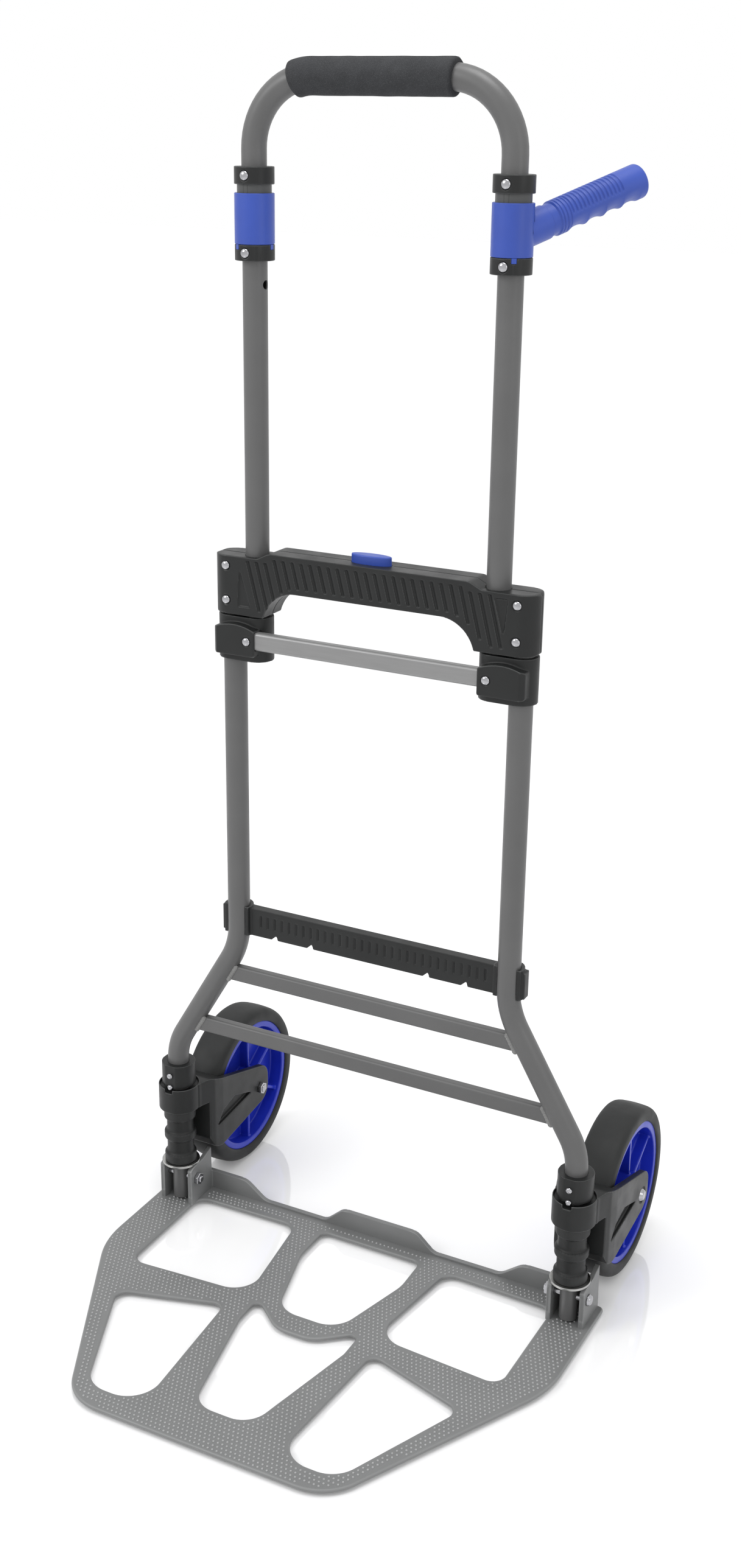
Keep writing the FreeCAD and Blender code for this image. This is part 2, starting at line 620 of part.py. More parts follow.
def link_bar():
    """Flat bar that joins the two sliders."""
    low, high = size("d.link_z"), size("d.link_z + d.link_height")
    near = size("d.foot_y - d.link_front")
    far = near + size("d.bar_depth")
    edge, reach = size("d.bar_round"), size("d.link_end_x")
    section = [(near, low, edge), (far, low, edge), (far, high, edge), (near, high, edge)]
    holes = [rod("d.shank_radius", "d.shank_length",
                 (f"{side} * d.leg_x", "d.foot_y - d.boss_front + 1", "d.slider_rivet_z"), "+Y")
             for side in (-1, 1)]
    return cut(feature(prism("YZ", section, -reach, reach)), *holes)


def slider_rivets():
    return fuse(*[dome(f"{side} * d.leg_x", "d.foot_y - d.boss_front + 1", "d.slider_rivet_z")
                  for side in (-1, 1)])


# ---------------------------------------------------------------- toe plate
# Outlines run from the foot axis: across is X, up is Y before the plate is moved to the foot axis.
REAR_SIDE_HOLE = [(88, 9, 16), (71, -114, 26), (204.5, -123, 14), (204.5, 6, 14)]
REAR_MIDDLE_HOLE = [(56, 13, 8), (-56, 13, 8), (-57, -32, 60), (-33, -122, 28), (33, -122, 28), (57, -32, 60)]
FRONT_MIDDLE_HOLE = [(57, -120, 5), (46, -127, 8), (20, -149, 34), (-20, -149, 34), (-46, -127, 8),
                     (-57, -120, 5), (-57, -152, 25), (-30, -279, 26), (30, -279, 26), (57, -152, 25)]
FRONT_SIDE_HOLE = [(82, -141, 9), (70, -302, 30), (130.3, -302, 30), (187.3, -172.7, 12)]


def plate_outline():
    half, front, rear = size("d.plate_half"), size("d.plate_front"), size("d.plate_rear")
    right = [(134.4, -front, 50), (half, -107, 110), (half, rear, 6)]
    return right + [(-across, up, radius) for across, up, radius in reversed(right)]


def plate_holes():
    holes = [REAR_MIDDLE_HOLE, FRONT_MIDDLE_HOLE]
    for side in (-1, 1):
        holes += [mirrored(REAR_SIDE_HOLE, side), mirrored(FRONT_SIDE_HOLE, side)]
    return holes


def lip_outline(drop):
    """The rear lip seen from behind: high at the ears and the middle, low between them."""
    high, low, base = size("d.lip_top") - drop, size("d.lip_low") - drop, size("d.deck_z") - drop
    end = size("d.foot_x + d.ear_offset")
    right = [(end, base, 0), (end, high, 0), (161, high, 18), (137, low, 18), (63, low, 14), (43, high, 14)]
    return right + [(-across, up, radius) for across, up, radius in reversed(right)]


def ear_solid(centre_x):
    """One of the four ears: square at the front, rounded about the pivot under the washer."""
    pivot, front, rear = size("d.pivot_z"), size("d.ear_front"), size("d.ear_rear")
    top, reach = size("d.ear_top"), size("d.ear_top - d.pivot_z")
    corner_z = pivot + math.sqrt(reach ** 2 - front ** 2)
    middle_y = -front / 2
    points = [Vector(0, -front, size("d.deck_z")), Vector(0, -front, corner_z),
              Vector(0, middle_y, pivot + math.sqrt(reach ** 2 - middle_y ** 2)), Vector(0, 0, top),
              Vector(0, 13.5, top), Vector(0, rear, size("d.ear_peak")),
              Vector(0, rear + 2, size("d.deck_z"))]
    edges = [Part.LineSegment(points[0], points[1]).toShape(), Part.Arc(*points[1:4]).toShape()]
    edges += [Part.LineSegment(start, end).toShape()
              for start, end in zip(points[3:], points[4:] + points[:1])]
    thick = size("d.ear_thick")
    ear = Part.Face(Part.Wire(edges)).extrude(Vector(thick, 0, 0))
    ear.translate(Vector(centre_x - thick / 2, 0, 0))
    bore = Part.makeCylinder(size("d.pivot_radius"), 60, Vector(centre_x - 30, 0, pivot), Vector(1, 0, 0))
    return ear.cut(bore)


def floor_pads():
    """Round pads under the deck, set in from its edges, on which the plate lies."""
    deck_z, wide, narrow = size("d.deck_z"), size("d.pad_radius"), size("d.front_pad_radius")
    places = [(0, -303, wide)]
    for side in (-1, 1):
        places += [(side * 227, 12, wide), (side * 227, -66, wide), (side * 200, -148, wide)]
        places += [(side * 100, -314, narrow)]
    return [Part.makeCylinder(radius, deck_z + 1, Vector(across, along, 0))
            for across, along, radius in places]


def toe_plate():
    """Cast plate: a thin deck with a turned-down rim along every edge, pads, four ears and a lip."""
    deck_z, deck_top, rim = size("d.deck_z"), size("d.deck_top"), size("d.rim_width")
    rim_low, rear = size("d.rim_low"), size("d.plate_rear")
    outline = rounded_face("XY", plate_outline())
    edging = outline.cut(outline.makeOffset2D(-rim))
    deck = outline
    for corners in plate_holes():
        hole = rounded_face("XY", corners)
        deck = deck.cut(hole)
        edging = edging.fuse(hole.makeOffset2D(rim).cut(hole))
    plate = deck.extrude(Vector(0, 0, deck_top - deck_z))
    plate.translate(Vector(0, 0, deck_z))
    edging = edging.common(deck).extrude(Vector(0, 0, deck_top - rim_low))
    edging.translate(Vector(0, 0, rim_low))
    wall = prism("XZ", lip_outline(0), rear - size("d.lip_thick"), rear)
    above = prism("XZ", lip_outline(2.5), rear - 60, rear + 60)
    near = size("d.plate_rear - d.lip_thick")
    flange = prism("XZ", lip_outline(0), near, near + size("d.lip_flange"))
    plate = plate.fuse([edging, wall, flange.cut(above)] + floor_pads())
    for side in (-1, 1):
        for offset in (-1, 1):
            ear_x = side * size("d.foot_x") + offset * (size("d.ear_offset") + size("d.ear_thick") / 2)
            plate = plate.fuse(ear_solid(ear_x))
    plate.translate(Vector(0, size("d.foot_y"), 0))
    return feature(plate.removeSplitter())


PIVOT_GRIP = "d.ear_offset + d.ear_thick"


def pivot_bolts():
    """Bolt through each pair of ears, with its domed head on the outer side."""
    pieces = []
    for side in (-1, 1):
        head_x = f"{side} * (d.foot_x + {PIVOT_GRIP})"
        outward, inward = ("+X", "-X") if side > 0 else ("-X", "+X")
        reach = f"2 * ({PIVOT_GRIP}) + d.nut_height + 2"
        shank = rod("d.pivot_radius", reach, (head_x, "d.foot_y", "d.pivot_z"), inward)
        head = primitive("Cone", (head_x, "d.foot_y", "d.pivot_z"), outward,
                         Radius1="d.nut_radius", Radius2="d.nut_radius - 2", Height="d.nut_height - 0.5")
        pieces.append(fuse(shank, head))
    return fuse(*pieces)


def hex_nut(at, along, bore):
    """Hexagonal nut on a shank of radius bore."""
    hexagon = primitive("Prism", at, along, Circumradius="d.nut_radius + 0.4", Height="d.nut_height")
    hexagon.Polygon = 6
    return cut(hexagon, rod(bore, "d.nut_height", at, along))


def pivot_nuts():
    return fuse(*[hex_nut((f"{side} * (d.foot_x - ({PIVOT_GRIP}))", "d.foot_y", "d.pivot_z"),
                          "-X" if side > 0 else "+X", "d.pivot_radius") for side in (-1, 1)])


# ---------------------------------------------------------------- wheel brackets and wheels
AXLE_Y = "d.foot_y + d.axle_y"
RIB_COUNT = 6


def wheel_bracket(side):
    """Hub ring on the foot axis, with a fork whose two arms carry the axle."""
    arm, inner, end_r = size("d.arm_half"), size("d.arm_inner"), size("d.arm_end_radius")
    axle_y, axle_z, hub_r = size("d.axle_y"), size("d.wheel_radius"), size("d.hub_radius")
    hub_z, hub_top = size("d.hub_z"), size("d.hub_top")
    front = size("d.spring_radius") + 2
    back = axle_y + end_r
    profile = [(4, hub_z, 0), (front, hub_z, 0), (front, 74, 6), (27, 60, 8), (38, 57, 10),
               (back, axle_z - end_r, end_r), (back, axle_z + end_r + 4, end_r), (36, 139, 40),
               (20, 145.5, 20), (4, hub_top, 0)]
    side_view = prism("YZ", profile, -arm, arm)
    plan = [(-hub_r, 0, 0), (hub_r, 0, 0), (hub_r + 1, 8, 10), (arm - 1, 26, 12), (arm, 40, 20),
            (arm, back + 1, 0), (-arm, back + 1, 0), (-arm, 40, 20), (-arm + 1, 26, 12), (-hub_r - 1, 8, 10)]
    fork = side_view.common(prism("XY", plan, 0, hub_top + 10))
    fork = fork.fuse(Part.makeCylinder(hub_r, hub_top - hub_z, Vector(0, 0, hub_z)))
    across = Vector(1, 0, 0)
    well = Part.makeCylinder(axle_z + 2.5, 2 * inner, Vector(-inner, axle_y, axle_z), across)
    fork = fork.cut(well.cut(Part.makeBox(200, 40, 300, Vector(-100, -14, 0))))
    for way in (-1, 1):
        boss_x = way * size("d.arm_boss")
        fork = fork.fuse(Part.makeCylinder(end_r + 4, inner - abs(boss_x), Vector(boss_x, axle_y, axle_z),
                                           Vector(way, 0, 0)).common(side_view))
    notch_z = hub_top - size("d.hub_notch")
    fork = fork.cut(Part.makeCylinder(size("d.axle_radius"), 200, Vector(-100, axle_y, axle_z), across))
    head_face = Vector(side * (arm - 1.5), axle_y, axle_z)
    fork = fork.cut(Part.makeCylinder(9, 10, head_face, across * side))
    bore = size("d.tube_radius + d.running_gap")
    fork = fork.cut(Part.makeCylinder(bore, 60, Vector(0, 0, hub_z - 10)))
    fork = fork.cut(Part.makeCylinder(size("d.hub_relief"), 20, Vector(0, 0, notch_z + 0.4)))
    notch = Part.makeBox(9, 30, 20, Vector(-4.5, -30, notch_z))
    fork = fork.cut(notch).removeSplitter()
    fork = max(fork.Solids, key=lambda solid: solid.Volume)
    fork.translate(Vector(side * size("d.foot_x"), size("d.foot_y"), 0))
    return feature(fork)


def axle(side):
    """Axle bolt with its domed head in the recess of the outer arm."""
    head_x = f"{side} * (d.foot_x + d.arm_half - 1.5)"
    outward, inward = ("+X", "-X") if side > 0 else ("-X", "+X")
    reach = "2 * d.arm_half - 1.5 + d.nut_height + 1"
    shank = rod("d.axle_radius", reach, (head_x, AXLE_Y, "d.wheel_radius"), inward)
    head = primitive("Cone", (head_x, AXLE_Y, "d.wheel_radius"), outward,
                     Radius1="d.nut_radius + 0.6", Radius2="d.nut_radius - 2", Height="d.nut_height - 0.5")
    return fuse(shank, head)


def axle_nut(side):
    return hex_nut((f"{side} * (d.foot_x - d.arm_half)", AXLE_Y, "d.wheel_radius"),
                   "-X" if side > 0 else "+X", "d.axle_radius")


def tyre(side):
    """Solid tyre with rounded shoulders, seated on the rim."""
    outer, half, seat = "d.wheel_radius", "d.tyre_half", "d.rim_radius"
    profile = [(seat, f"-{half} + 1"), (f"{seat} + 3", f"-{half}"), (f"{outer} - 8", f"-{half} + 0.6"),
               (f"{outer} - 3", f"-{half} + 4"), (f"{outer} - 0.8", f"-{half} + 8.5"), (outer, -5),
               (outer, 5), (f"{outer} - 0.8", f"{half} - 8.5"), (f"{outer} - 3", f"{half} - 4"),
               (f"{outer} - 8", f"{half} - 0.6"), (f"{seat} + 3", half), (seat, f"{half} - 1")]
    return turned_body(profile, (f"{side} * d.foot_x", AXLE_Y, "d.wheel_radius"), "+X")


def rim(side):
    """Moulded wheel centre: barrel, web, hub and six ribs on each face."""
    bore, hub, web, inner = "d.axle_radius + 0.05", "d.wheel_hub_radius", "d.web_half", "d.rim_inner"
    barrel, seat, half = "d.tyre_half - 2", "d.rim_radius", "d.hub_half"
    centre = (f"{side} * d.foot_x", AXLE_Y, "d.wheel_radius")
    near_face = [(bore, f"-{half}"), (hub, f"-{half}"), (hub, f"-{web}"), (inner, f"-{web}"),
                 (inner, f"-({barrel})"), (seat, f"-({barrel})")]
    far_face = [(seat, barrel), (inner, barrel), (inner, web), (hub, web), (hub, half), (bore, half)]
    centre_piece = turned_body(near_face + far_face, centre, "+X")
    rib_foot = (f"{side} * d.foot_x - d.tyre_half + 6", f"{AXLE_Y} - 2",
                "d.wheel_radius + d.wheel_hub_radius - 1")
    rib = block("2 * (d.tyre_half - 6)", 4, "d.rim_inner - d.wheel_hub_radius + 2", rib_foot)
    ribs = doc.addObject("Part::Feature", "Ribs")
    doc.recompute()
    middle = Vector(0, size(AXLE_Y), size("d.wheel_radius"))
    copies = []
    for index in range(RIB_COUNT):
        copy = rib.Shape.copy()
        copy.rotate(middle, Vector(1, 0, 0), 360 * index / RIB_COUNT)
        copies.append(copy)
    ribs.Shape = Part.makeCompound(copies)
    return fuse(centre_piece, ribs)


# ---------------------------------------------------------------- the assembly
SIDES = ((-1, "left"), (1, "right"))

for side, word in SIDES:
    keep(lower_tube(side), f"lower_tube_{word}")
    keep(foot_post(side), f"foot_post_{word}")
    keep(foot_collar(side), f"foot_collar_{word}")
    keep(spring_sleeve(side), f"spring_sleeve_{word}")
    keep(foot_washer(side), f"foot_washer_{word}")
keep(crossbar("d.upper_bar_z"), "upper_crossbar")
keep(crossbar("d.lower_bar_z"), "lower_crossbar")
keep(stop_strip(), "stop_strip")
keep(collar_screws(), "foot_collar_screws")
keep(housing_shell(True), "housing_front")
keep(housing_shell(False), "housing_rear")
keep(housing_rivets(), "housing_rivets")

keep(button_form(0, "d.button_foot", "d.button_top"), "release_button")
for side, word in SIDES:
    keep(lock_bolt(side), f"lock_bolt_{word}")

keep(handle_tube(), "handle_tube")
keep(foam_grip(), "foam_grip")
for side, word in SIDES:
    keep(liner(side), f"sleeve_liner_{word}")
    keep(leg_collar(side, *COLLARS[0], True), f"lower_collar_{word}")
    keep(leg_collar(side, *COLLARS[1], False), f"upper_collar_{word}")
    keep(slider(side), f"slider_{word}")
    keep(feature(tab_blocks(side, 0)), f"sleeve_tabs_{word}")
keep(collar_rivets(), "collar_rivets")
keep(link_bar(), "link_bar")
keep(slider_rivets(), "slider_rivets")
keep(leg_sleeve(-1), "leg_sleeve_left")
keep(grip_sleeve(), "grip_sleeve_right")
keep(side_grip(), "side_grip")

keep(toe_plate(), "toe_plate")
keep(pivot_bolts(), "pivot_bolts")
keep(pivot_nuts(), "pivot_nuts")
for side, word in SIDES:
    keep(wheel_bracket(side), f"wheel_bracket_{word}")
    keep(axle(side), f"axle_{word}")
    keep(axle_nut(side), f"axle_nut_{word}")
    keep(rim(side), f"rim_{word}")
    keep(tyre(side), f"tyre_{word}")

doc.recompute()
for item in doc.Objects:
    if "Invalid" in item.State or "Error" in item.State:
        raise RuntimeError(f"{item.Label} failed: {item.State}")
for piece in nodes:
    if piece.Shape.isNull() or not piece.Shape.isValid() or not piece.Shape.Solids:
        raise RuntimeError(f"{piece.Label} has no valid solid")

os.makedirs("parts", exist_ok=True)
for piece in nodes:
    piece.Shape.exportStep(f"parts/{piece.Label}.step")
print(len(nodes), "sub-parts written")
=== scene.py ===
"""Looks of the folding hand truck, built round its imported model.

Places are metres in the row frame; a figure times MM is in millimetres. +X is to the right seen
from the front, +Y to the rear, +Z up, and the floor is at Z = 0.
"""

import json
import math

import bmesh
import bpy
from mathutils import Matrix, Vector, noise
from mathutils.bvhtree import BVHTree

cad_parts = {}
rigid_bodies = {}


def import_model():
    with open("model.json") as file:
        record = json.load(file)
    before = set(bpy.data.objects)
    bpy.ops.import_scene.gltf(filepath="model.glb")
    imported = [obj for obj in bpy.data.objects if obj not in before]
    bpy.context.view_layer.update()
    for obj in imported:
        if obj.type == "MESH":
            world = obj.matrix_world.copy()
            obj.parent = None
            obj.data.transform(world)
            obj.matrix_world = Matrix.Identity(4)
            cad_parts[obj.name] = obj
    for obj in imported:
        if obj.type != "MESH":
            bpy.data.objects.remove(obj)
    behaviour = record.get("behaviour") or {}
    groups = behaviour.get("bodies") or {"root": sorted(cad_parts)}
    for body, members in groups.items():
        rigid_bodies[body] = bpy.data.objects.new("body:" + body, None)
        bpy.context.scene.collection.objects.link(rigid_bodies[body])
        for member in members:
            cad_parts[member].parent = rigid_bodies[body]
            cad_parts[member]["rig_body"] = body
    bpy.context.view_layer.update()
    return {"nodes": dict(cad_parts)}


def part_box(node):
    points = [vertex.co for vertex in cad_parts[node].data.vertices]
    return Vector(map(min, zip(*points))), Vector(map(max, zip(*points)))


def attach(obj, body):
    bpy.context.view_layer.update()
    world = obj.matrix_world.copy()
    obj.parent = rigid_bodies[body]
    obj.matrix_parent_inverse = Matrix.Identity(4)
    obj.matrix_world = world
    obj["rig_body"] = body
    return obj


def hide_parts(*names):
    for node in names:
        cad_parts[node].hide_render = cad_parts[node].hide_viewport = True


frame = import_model()

MM = 0.001
SIDES = ((-1, "left"), (1, "right"))
nodes = frame["nodes"]
scene = bpy.context.scene


# ---------------------------------------------------------------- materials
def linear(colour):
    """An 8-bit sRGB colour as linear RGBA."""
    parts = [part / 255 for part in colour]
    return [part / 12.92 if part < 0.04045 else ((part + 0.055) / 1.055) ** 2.4 for part in parts] + [1]


def new_node(tree, kind, **inputs):
    item = tree.nodes.new(kind)
    for name, value in inputs.items():
        item.inputs[name].default_value = value
    return item


def map_range(tree, source, start, end, low, high):
    """Carries a source socket from start..end to low..high."""
    item = tree.nodes.new("ShaderNodeMapRange")
    for socket, value in zip(("From Min", "From Max", "To Min", "To Max"), (start, end, low, high)):
        item.inputs[socket].default_value = value
    tree.links.new(source, item.inputs["Value"])
    return item.outputs["Result"]


def mixed(tree, share, shade, colour):
    """Mixes an sRGB colour into a shade by the share socket."""
    item = tree.nodes.new("ShaderNodeMixRGB")
    tree.links.new(share, item.inputs["Fac"])
    tree.links.new(shade, item.inputs["Color1"])
    item.inputs["Color2"].default_value = linear(colour)
    return item.outputs["Color"]


# Pointiness of a flat face is 0.5: the painted highlight on convex edges starts at the first figure and is
# full at the second.
EDGE_HIGHLIGHT_FROM, EDGE_HIGHLIGHT_TO, EDGE_HIGHLIGHT_SHARE = 0.515, 0.57, 0.8
FLECK_SHARE = 0.6


def finish_material(name, colour, vary=0.05, cloud=25, rough=(0.35, 0.45), smudge=45, grain=900,
                    relief=0.03, stretch=(1, 1, 1), metallic=0.0, specular=0.5, speckle=None, edge=None):
    """A painted, moulded or metal surface: clouded colour, uneven gloss and a fine raised grain.

    cloud, smudge and grain are noise scales per metre, relief is the grain's height in mm,
    speckle is (colour, size) of small flecks, and edge is the colour that convex edges are lightened to, a
    painted highlight.
    """
    finish = bpy.data.materials.new(name)
    finish.use_nodes = True
    tree = finish.node_tree
    link = tree.links.new
    shader = tree.nodes["Principled BSDF"]
    shader.inputs["Metallic"].default_value = metallic
    shader.inputs["Specular IOR Level"].default_value = specular
    place = tree.nodes.new("ShaderNodeTexCoord")
    spread = new_node(tree, "ShaderNodeMapping", Scale=stretch)
    link(place.outputs["Object"], spread.inputs["Vector"])

    def pattern(scale, detail):
        texture = new_node(tree, "ShaderNodeTexNoise", Scale=scale, Detail=detail)
        link(spread.outputs["Vector"], texture.inputs["Vector"])
        return texture.outputs["Fac"]

    tint = tree.nodes.new("ShaderNodeValToRGB")
    base = linear(colour)
    for stop, at, factor in zip(tint.color_ramp.elements, (0.3, 0.7), (1 - vary, 1 + vary)):
        stop.position = at
        stop.color = [min(1, part * factor) for part in base[:3]] + [1]
    link(pattern(cloud, 4), tint.inputs["Fac"])
    shade = tint.outputs["Color"]
    if speckle:
        fleck, size = speckle
        cells = new_node(tree, "ShaderNodeTexVoronoi", Scale=grain)
        link(spread.outputs["Vector"], cells.inputs["Vector"])
        near = map_range(tree, cells.outputs["Distance"], size, size * 0.6, 0, FLECK_SHARE)
        shade = mixed(tree, near, shade, fleck)
    # Painted highlight: convex edges, found by pointiness, are lightened towards the edge colour.
    if edge:
        shape = tree.nodes.new("ShaderNodeNewGeometry")
        painted_edge_highlight = map_range(tree, shape.outputs["Pointiness"], EDGE_HIGHLIGHT_FROM, EDGE_HIGHLIGHT_TO, 0, EDGE_HIGHLIGHT_SHARE)
        shade = mixed(tree, painted_edge_highlight, shade, edge)
    link(shade, shader.inputs["Base Color"])
    link(map_range(tree, pattern(smudge, 3), 0.3, 0.7, *rough), shader.inputs["Roughness"])

    bump = new_node(tree, "ShaderNodeBump", Distance=relief * MM, Strength=1.0)
    link(pattern(grain, 2), bump.inputs["Height"])
    link(bump.outputs["Normal"], shader.inputs["Normal"])
    return finish


BRUSHED = (1, 12, 12)
# The edge colours below are painted highlights on convex edges.
FINISH = {
    "frame_paint": finish_material("frame_paint_satin", (87, 87, 87), vary=0.04, rough=(0.36, 0.44),
                                   grain=1400, relief=0.02),
    "plate_paint": finish_material("plate_paint_satin", (112, 113, 113), vary=0.05, cloud=18,
                                   rough=(0.38, 0.48), grain=1300, relief=0.03, edge=(150, 151, 151)),
    "link_aluminium": finish_material("link_silver", (132, 132, 132), vary=0.04, rough=(0.34, 0.42),
                                      stretch=BRUSHED, grain=260, relief=0.012, metallic=0.35),
    "black_plastic": finish_material("moulded_black", (29, 30, 30), vary=0.1, rough=(0.34, 0.48),
                                     grain=1500, relief=0.05, specular=0.3, edge=(84, 85, 85)),
    "spring_rubber": finish_material("sleeve_rubber", (24, 25, 25), vary=0.12, rough=(0.42, 0.55),
                                     grain=1100, relief=0.05, specular=0.35, edge=(74, 75, 75)),
    "tyre_rubber": finish_material("tyre_rubber_dark", (36, 37, 37), vary=0.12, cloud=30,
                                   rough=(0.5, 0.64), grain=1200, relief=0.06, specular=0.3),
    "blue_plastic": finish_material("moulded_blue", (42, 70, 158), vary=0.07, rough=(0.36, 0.46),
                                    grain=1500, relief=0.03),
    "rim_plastic": finish_material("rim_blue", (28, 46, 172), vary=0.08, rough=(0.28, 0.38),
                                   grain=1300, relief=0.03, specular=0.35),
    "foam": finish_material("grip_foam", (50, 51, 53), vary=0.16, cloud=90, rough=(0.8, 0.92),
                            grain=1600, relief=0.35, specular=0.25, speckle=((96, 97, 99), 0.28)),
    "bright_steel": finish_material("chromed_steel", (168, 168, 171), vary=0.05, cloud=160,
                                    rough=(0.12, 0.24), grain=700, relief=0.03, metallic=1.0),
    "zinc": finish_material("zinc_washer", (170, 170, 168), vary=0.08, cloud=140, rough=(0.22, 0.36),
                            grain=900, relief=0.03, metallic=1.0),
    "pin_steel": finish_material("pin_steel_turned", (170, 170, 172), vary=0.06, rough=(0.2, 0.3),
                                 stretch=(12, 1, 1), grain=400, relief=0.02, metallic=1.0),
}


# ---------------------------------------------------------------- making pieces
def add(name, bm, body, slot, *replaced):
    """Turns bm into a piece: painted, riding on its body, and standing for CAD nodes."""
    mesh = bpy.data.meshes.new(name)
    bm.to_mesh(mesh)
    bm.free()
    for face in mesh.polygons:
        face.use_smooth = True
    mesh.materials.append(FINISH[slot])
    piece = bpy.data.objects.new(name, mesh)
    scene.collection.objects.link(piece)
    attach(piece, body)
    if replaced:
        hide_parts(*replaced)
    return piece


def settle(piece):
    """Applies a piece's modifiers."""
    bpy.context.view_layer.update()
    shown = piece.evaluated_get(bpy.context.evaluated_depsgraph_get())
    mesh = bpy.data.meshes.new_from_object(shown)
    piece.modifiers.clear()
    piece.data = mesh
    return piece


def round_edges(piece, width, segments=2, sharp=32):
    """Rounds every edge sharper than sharp degrees, width mm wide, and evens the shading."""
    bevel = piece.modifiers.new("edges", "BEVEL")
    bevel.width = width * MM
    bevel.segments = segments
    bevel.limit_method = "ANGLE"
    bevel.angle_limit = math.radians(sharp)
    bevel.use_clamp_overlap = False
    weighted = piece.modifiers.new("shading", "WEIGHTED_NORMAL")
    weighted.keep_sharp = False
    return settle(piece)


def carve(piece, tool):
    """Cuts the closed mesh tool out of a piece."""
    mesh = bpy.data.meshes.new("tool")
    bmesh.ops.recalc_face_normals(tool, faces=tool.faces)
    tool.to_mesh(mesh)
    tool.free()
    cutter = bpy.data.objects.new("tool", mesh)
    scene.collection.objects.link(cutter)
    difference = piece.modifiers.new("carve", "BOOLEAN")
    difference.object = cutter
    difference.solver = "EXACT"
    difference.use_self = True
    settle(piece)
    bpy.data.objects.remove(cutter)
    return piece


def soften(piece, grain, passes=5, keep=0.25):
    """Moulded look: an even skin of grain mm, smoothed so that every edge is soft."""
    skin = piece.modifiers.new("skin", "REMESH")
    skin.mode = "VOXEL"
    skin.voxel_size = grain * MM
    skin.use_smooth_shade = True
    smooth = piece.modifiers.new("smooth", "SMOOTH")
    smooth.factor = 0.5
    smooth.iterations = passes
    fewer = piece.modifiers.new("fewer", "DECIMATE")
    fewer.ratio = keep
    return settle(piece)


def merge_flats(piece):
    """Joins the triangles of each flat region, so that edges round cleanly."""
    bm = bmesh.new()
    bm.from_mesh(piece.data)
    bmesh.ops.dissolve_limit(bm, angle_limit=math.radians(0.5), verts=bm.verts, edges=bm.edges)
    bm.to_mesh(piece.data)
    bm.free()


def slot_of(node):
    return nodes[node].data.materials[0].name


def cad_copy(node):
    """A CAD node's mesh, welded."""
    bm = bmesh.new()
    bm.from_mesh(nodes[node].data)
    bmesh.ops.remove_doubles(bm, verts=bm.verts, dist=0.004 * MM)
    return bm


def refined(node, width, segments=2):
    """The CAD node with its edges rounded."""
    piece = add(f"{node}_detailed", cad_copy(node), nodes[node]["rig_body"], SLOTS[node], node)
    merge_flats(piece)
    return round_edges(piece, width, segments)


def moulded(node, grain, tool=None, passes=5):
    """The CAD node with its details carved in and all its edges soft."""
    piece = add(f"{node}_moulded", cad_copy(node), nodes[node]["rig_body"], SLOTS[node], node)
    if tool:
        carve(piece, tool)
    return soften(piece, grain, passes)


def prism(bm, low, high):
    """Adds a closed prism between two loops of as many points."""
    bottom = [bm.verts.new(point) for point in low]
    top = [bm.verts.new(point) for point in high]
    bm.faces.new(bottom[::-1])
    bm.faces.new(top)
    for index, corner in enumerate(bottom):
        after = (index + 1) % len(bottom)
        bm.faces.new((corner, bottom[after], top[after], top[index]))


def bridge(bm, rings):
    """Adds a band of faces from each ring to the next; rings have as many corners."""
    count = len(rings[0])
    for ring, following in zip(rings, rings[1:]):
        for index in range(count):
            after = (index + 1) % count
            bm.faces.new((ring[index], ring[after], following[after], following[index]))


def grid_tube(bm, rows):
    """Adds a tube of rings, each a list of as many points, with a flat face at each end."""
    rings = [[bm.verts.new(point) for point in row] for row in rows]
    bridge(bm, rings)
    bm.faces.new(rings[0][::-1])
    bm.faces.new(rings[-1])


def turned_rows(profile, place, steps):
    """Rings of points about an axis: profile lists (radius, height) in mm, place carries +Z to it."""
    return [[place @ Vector((radius * MM * math.cos(math.tau * step / steps),
                             radius * MM * math.sin(math.tau * step / steps), height * MM))
             for step in range(steps)] for radius, height in profile]


def turned(bm, profile, place, steps):
    """Adds a closed turned form."""
    grid_tube(bm, turned_rows(profile, place, steps))


def axis_place(origin, direction, upward=Vector((0, 0, 1))):
    """A frame at origin whose Z runs along direction and whose X leans to upward."""
    along = Vector(direction).normalized()
    lean = (upward - along * upward.dot(along)).normalized()
    turn = Matrix((lean, along.cross(lean), along)).transposed()
    return Matrix.Translation(origin) @ turn.to_4x4()


SLOTS = {node: slot_of(node) for node in nodes}
for node, shape in nodes.items():
    shape.data.materials[0] = FINISH[SLOTS[node]]

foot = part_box("foot_post_right")
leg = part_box("upper_collar_right")
FOOT_X, FOOT_Y = (foot[0].x + foot[1].x) / 2, (foot[0].y + foot[1].y) / 2
LEG_X = (leg[0].x + leg[1].x) / 2
TO_FRONT = Vector((0, -1, 0))

# ---------------------------------------------------------------- toe plate
DOT_PITCH, ROW_PITCH = 4.62 * MM, 4.71 * MM
DOT_PROFILE = ((1.2, -0.05), (1.1, 0.4), (0.75, 0.75), (0.3, 0.9))
DOT_SIDES = 8
DOT_MARGIN, MARGIN_CHECKS = 4.3 * MM, 12
LEVEL_SLACK = 0.1 * MM

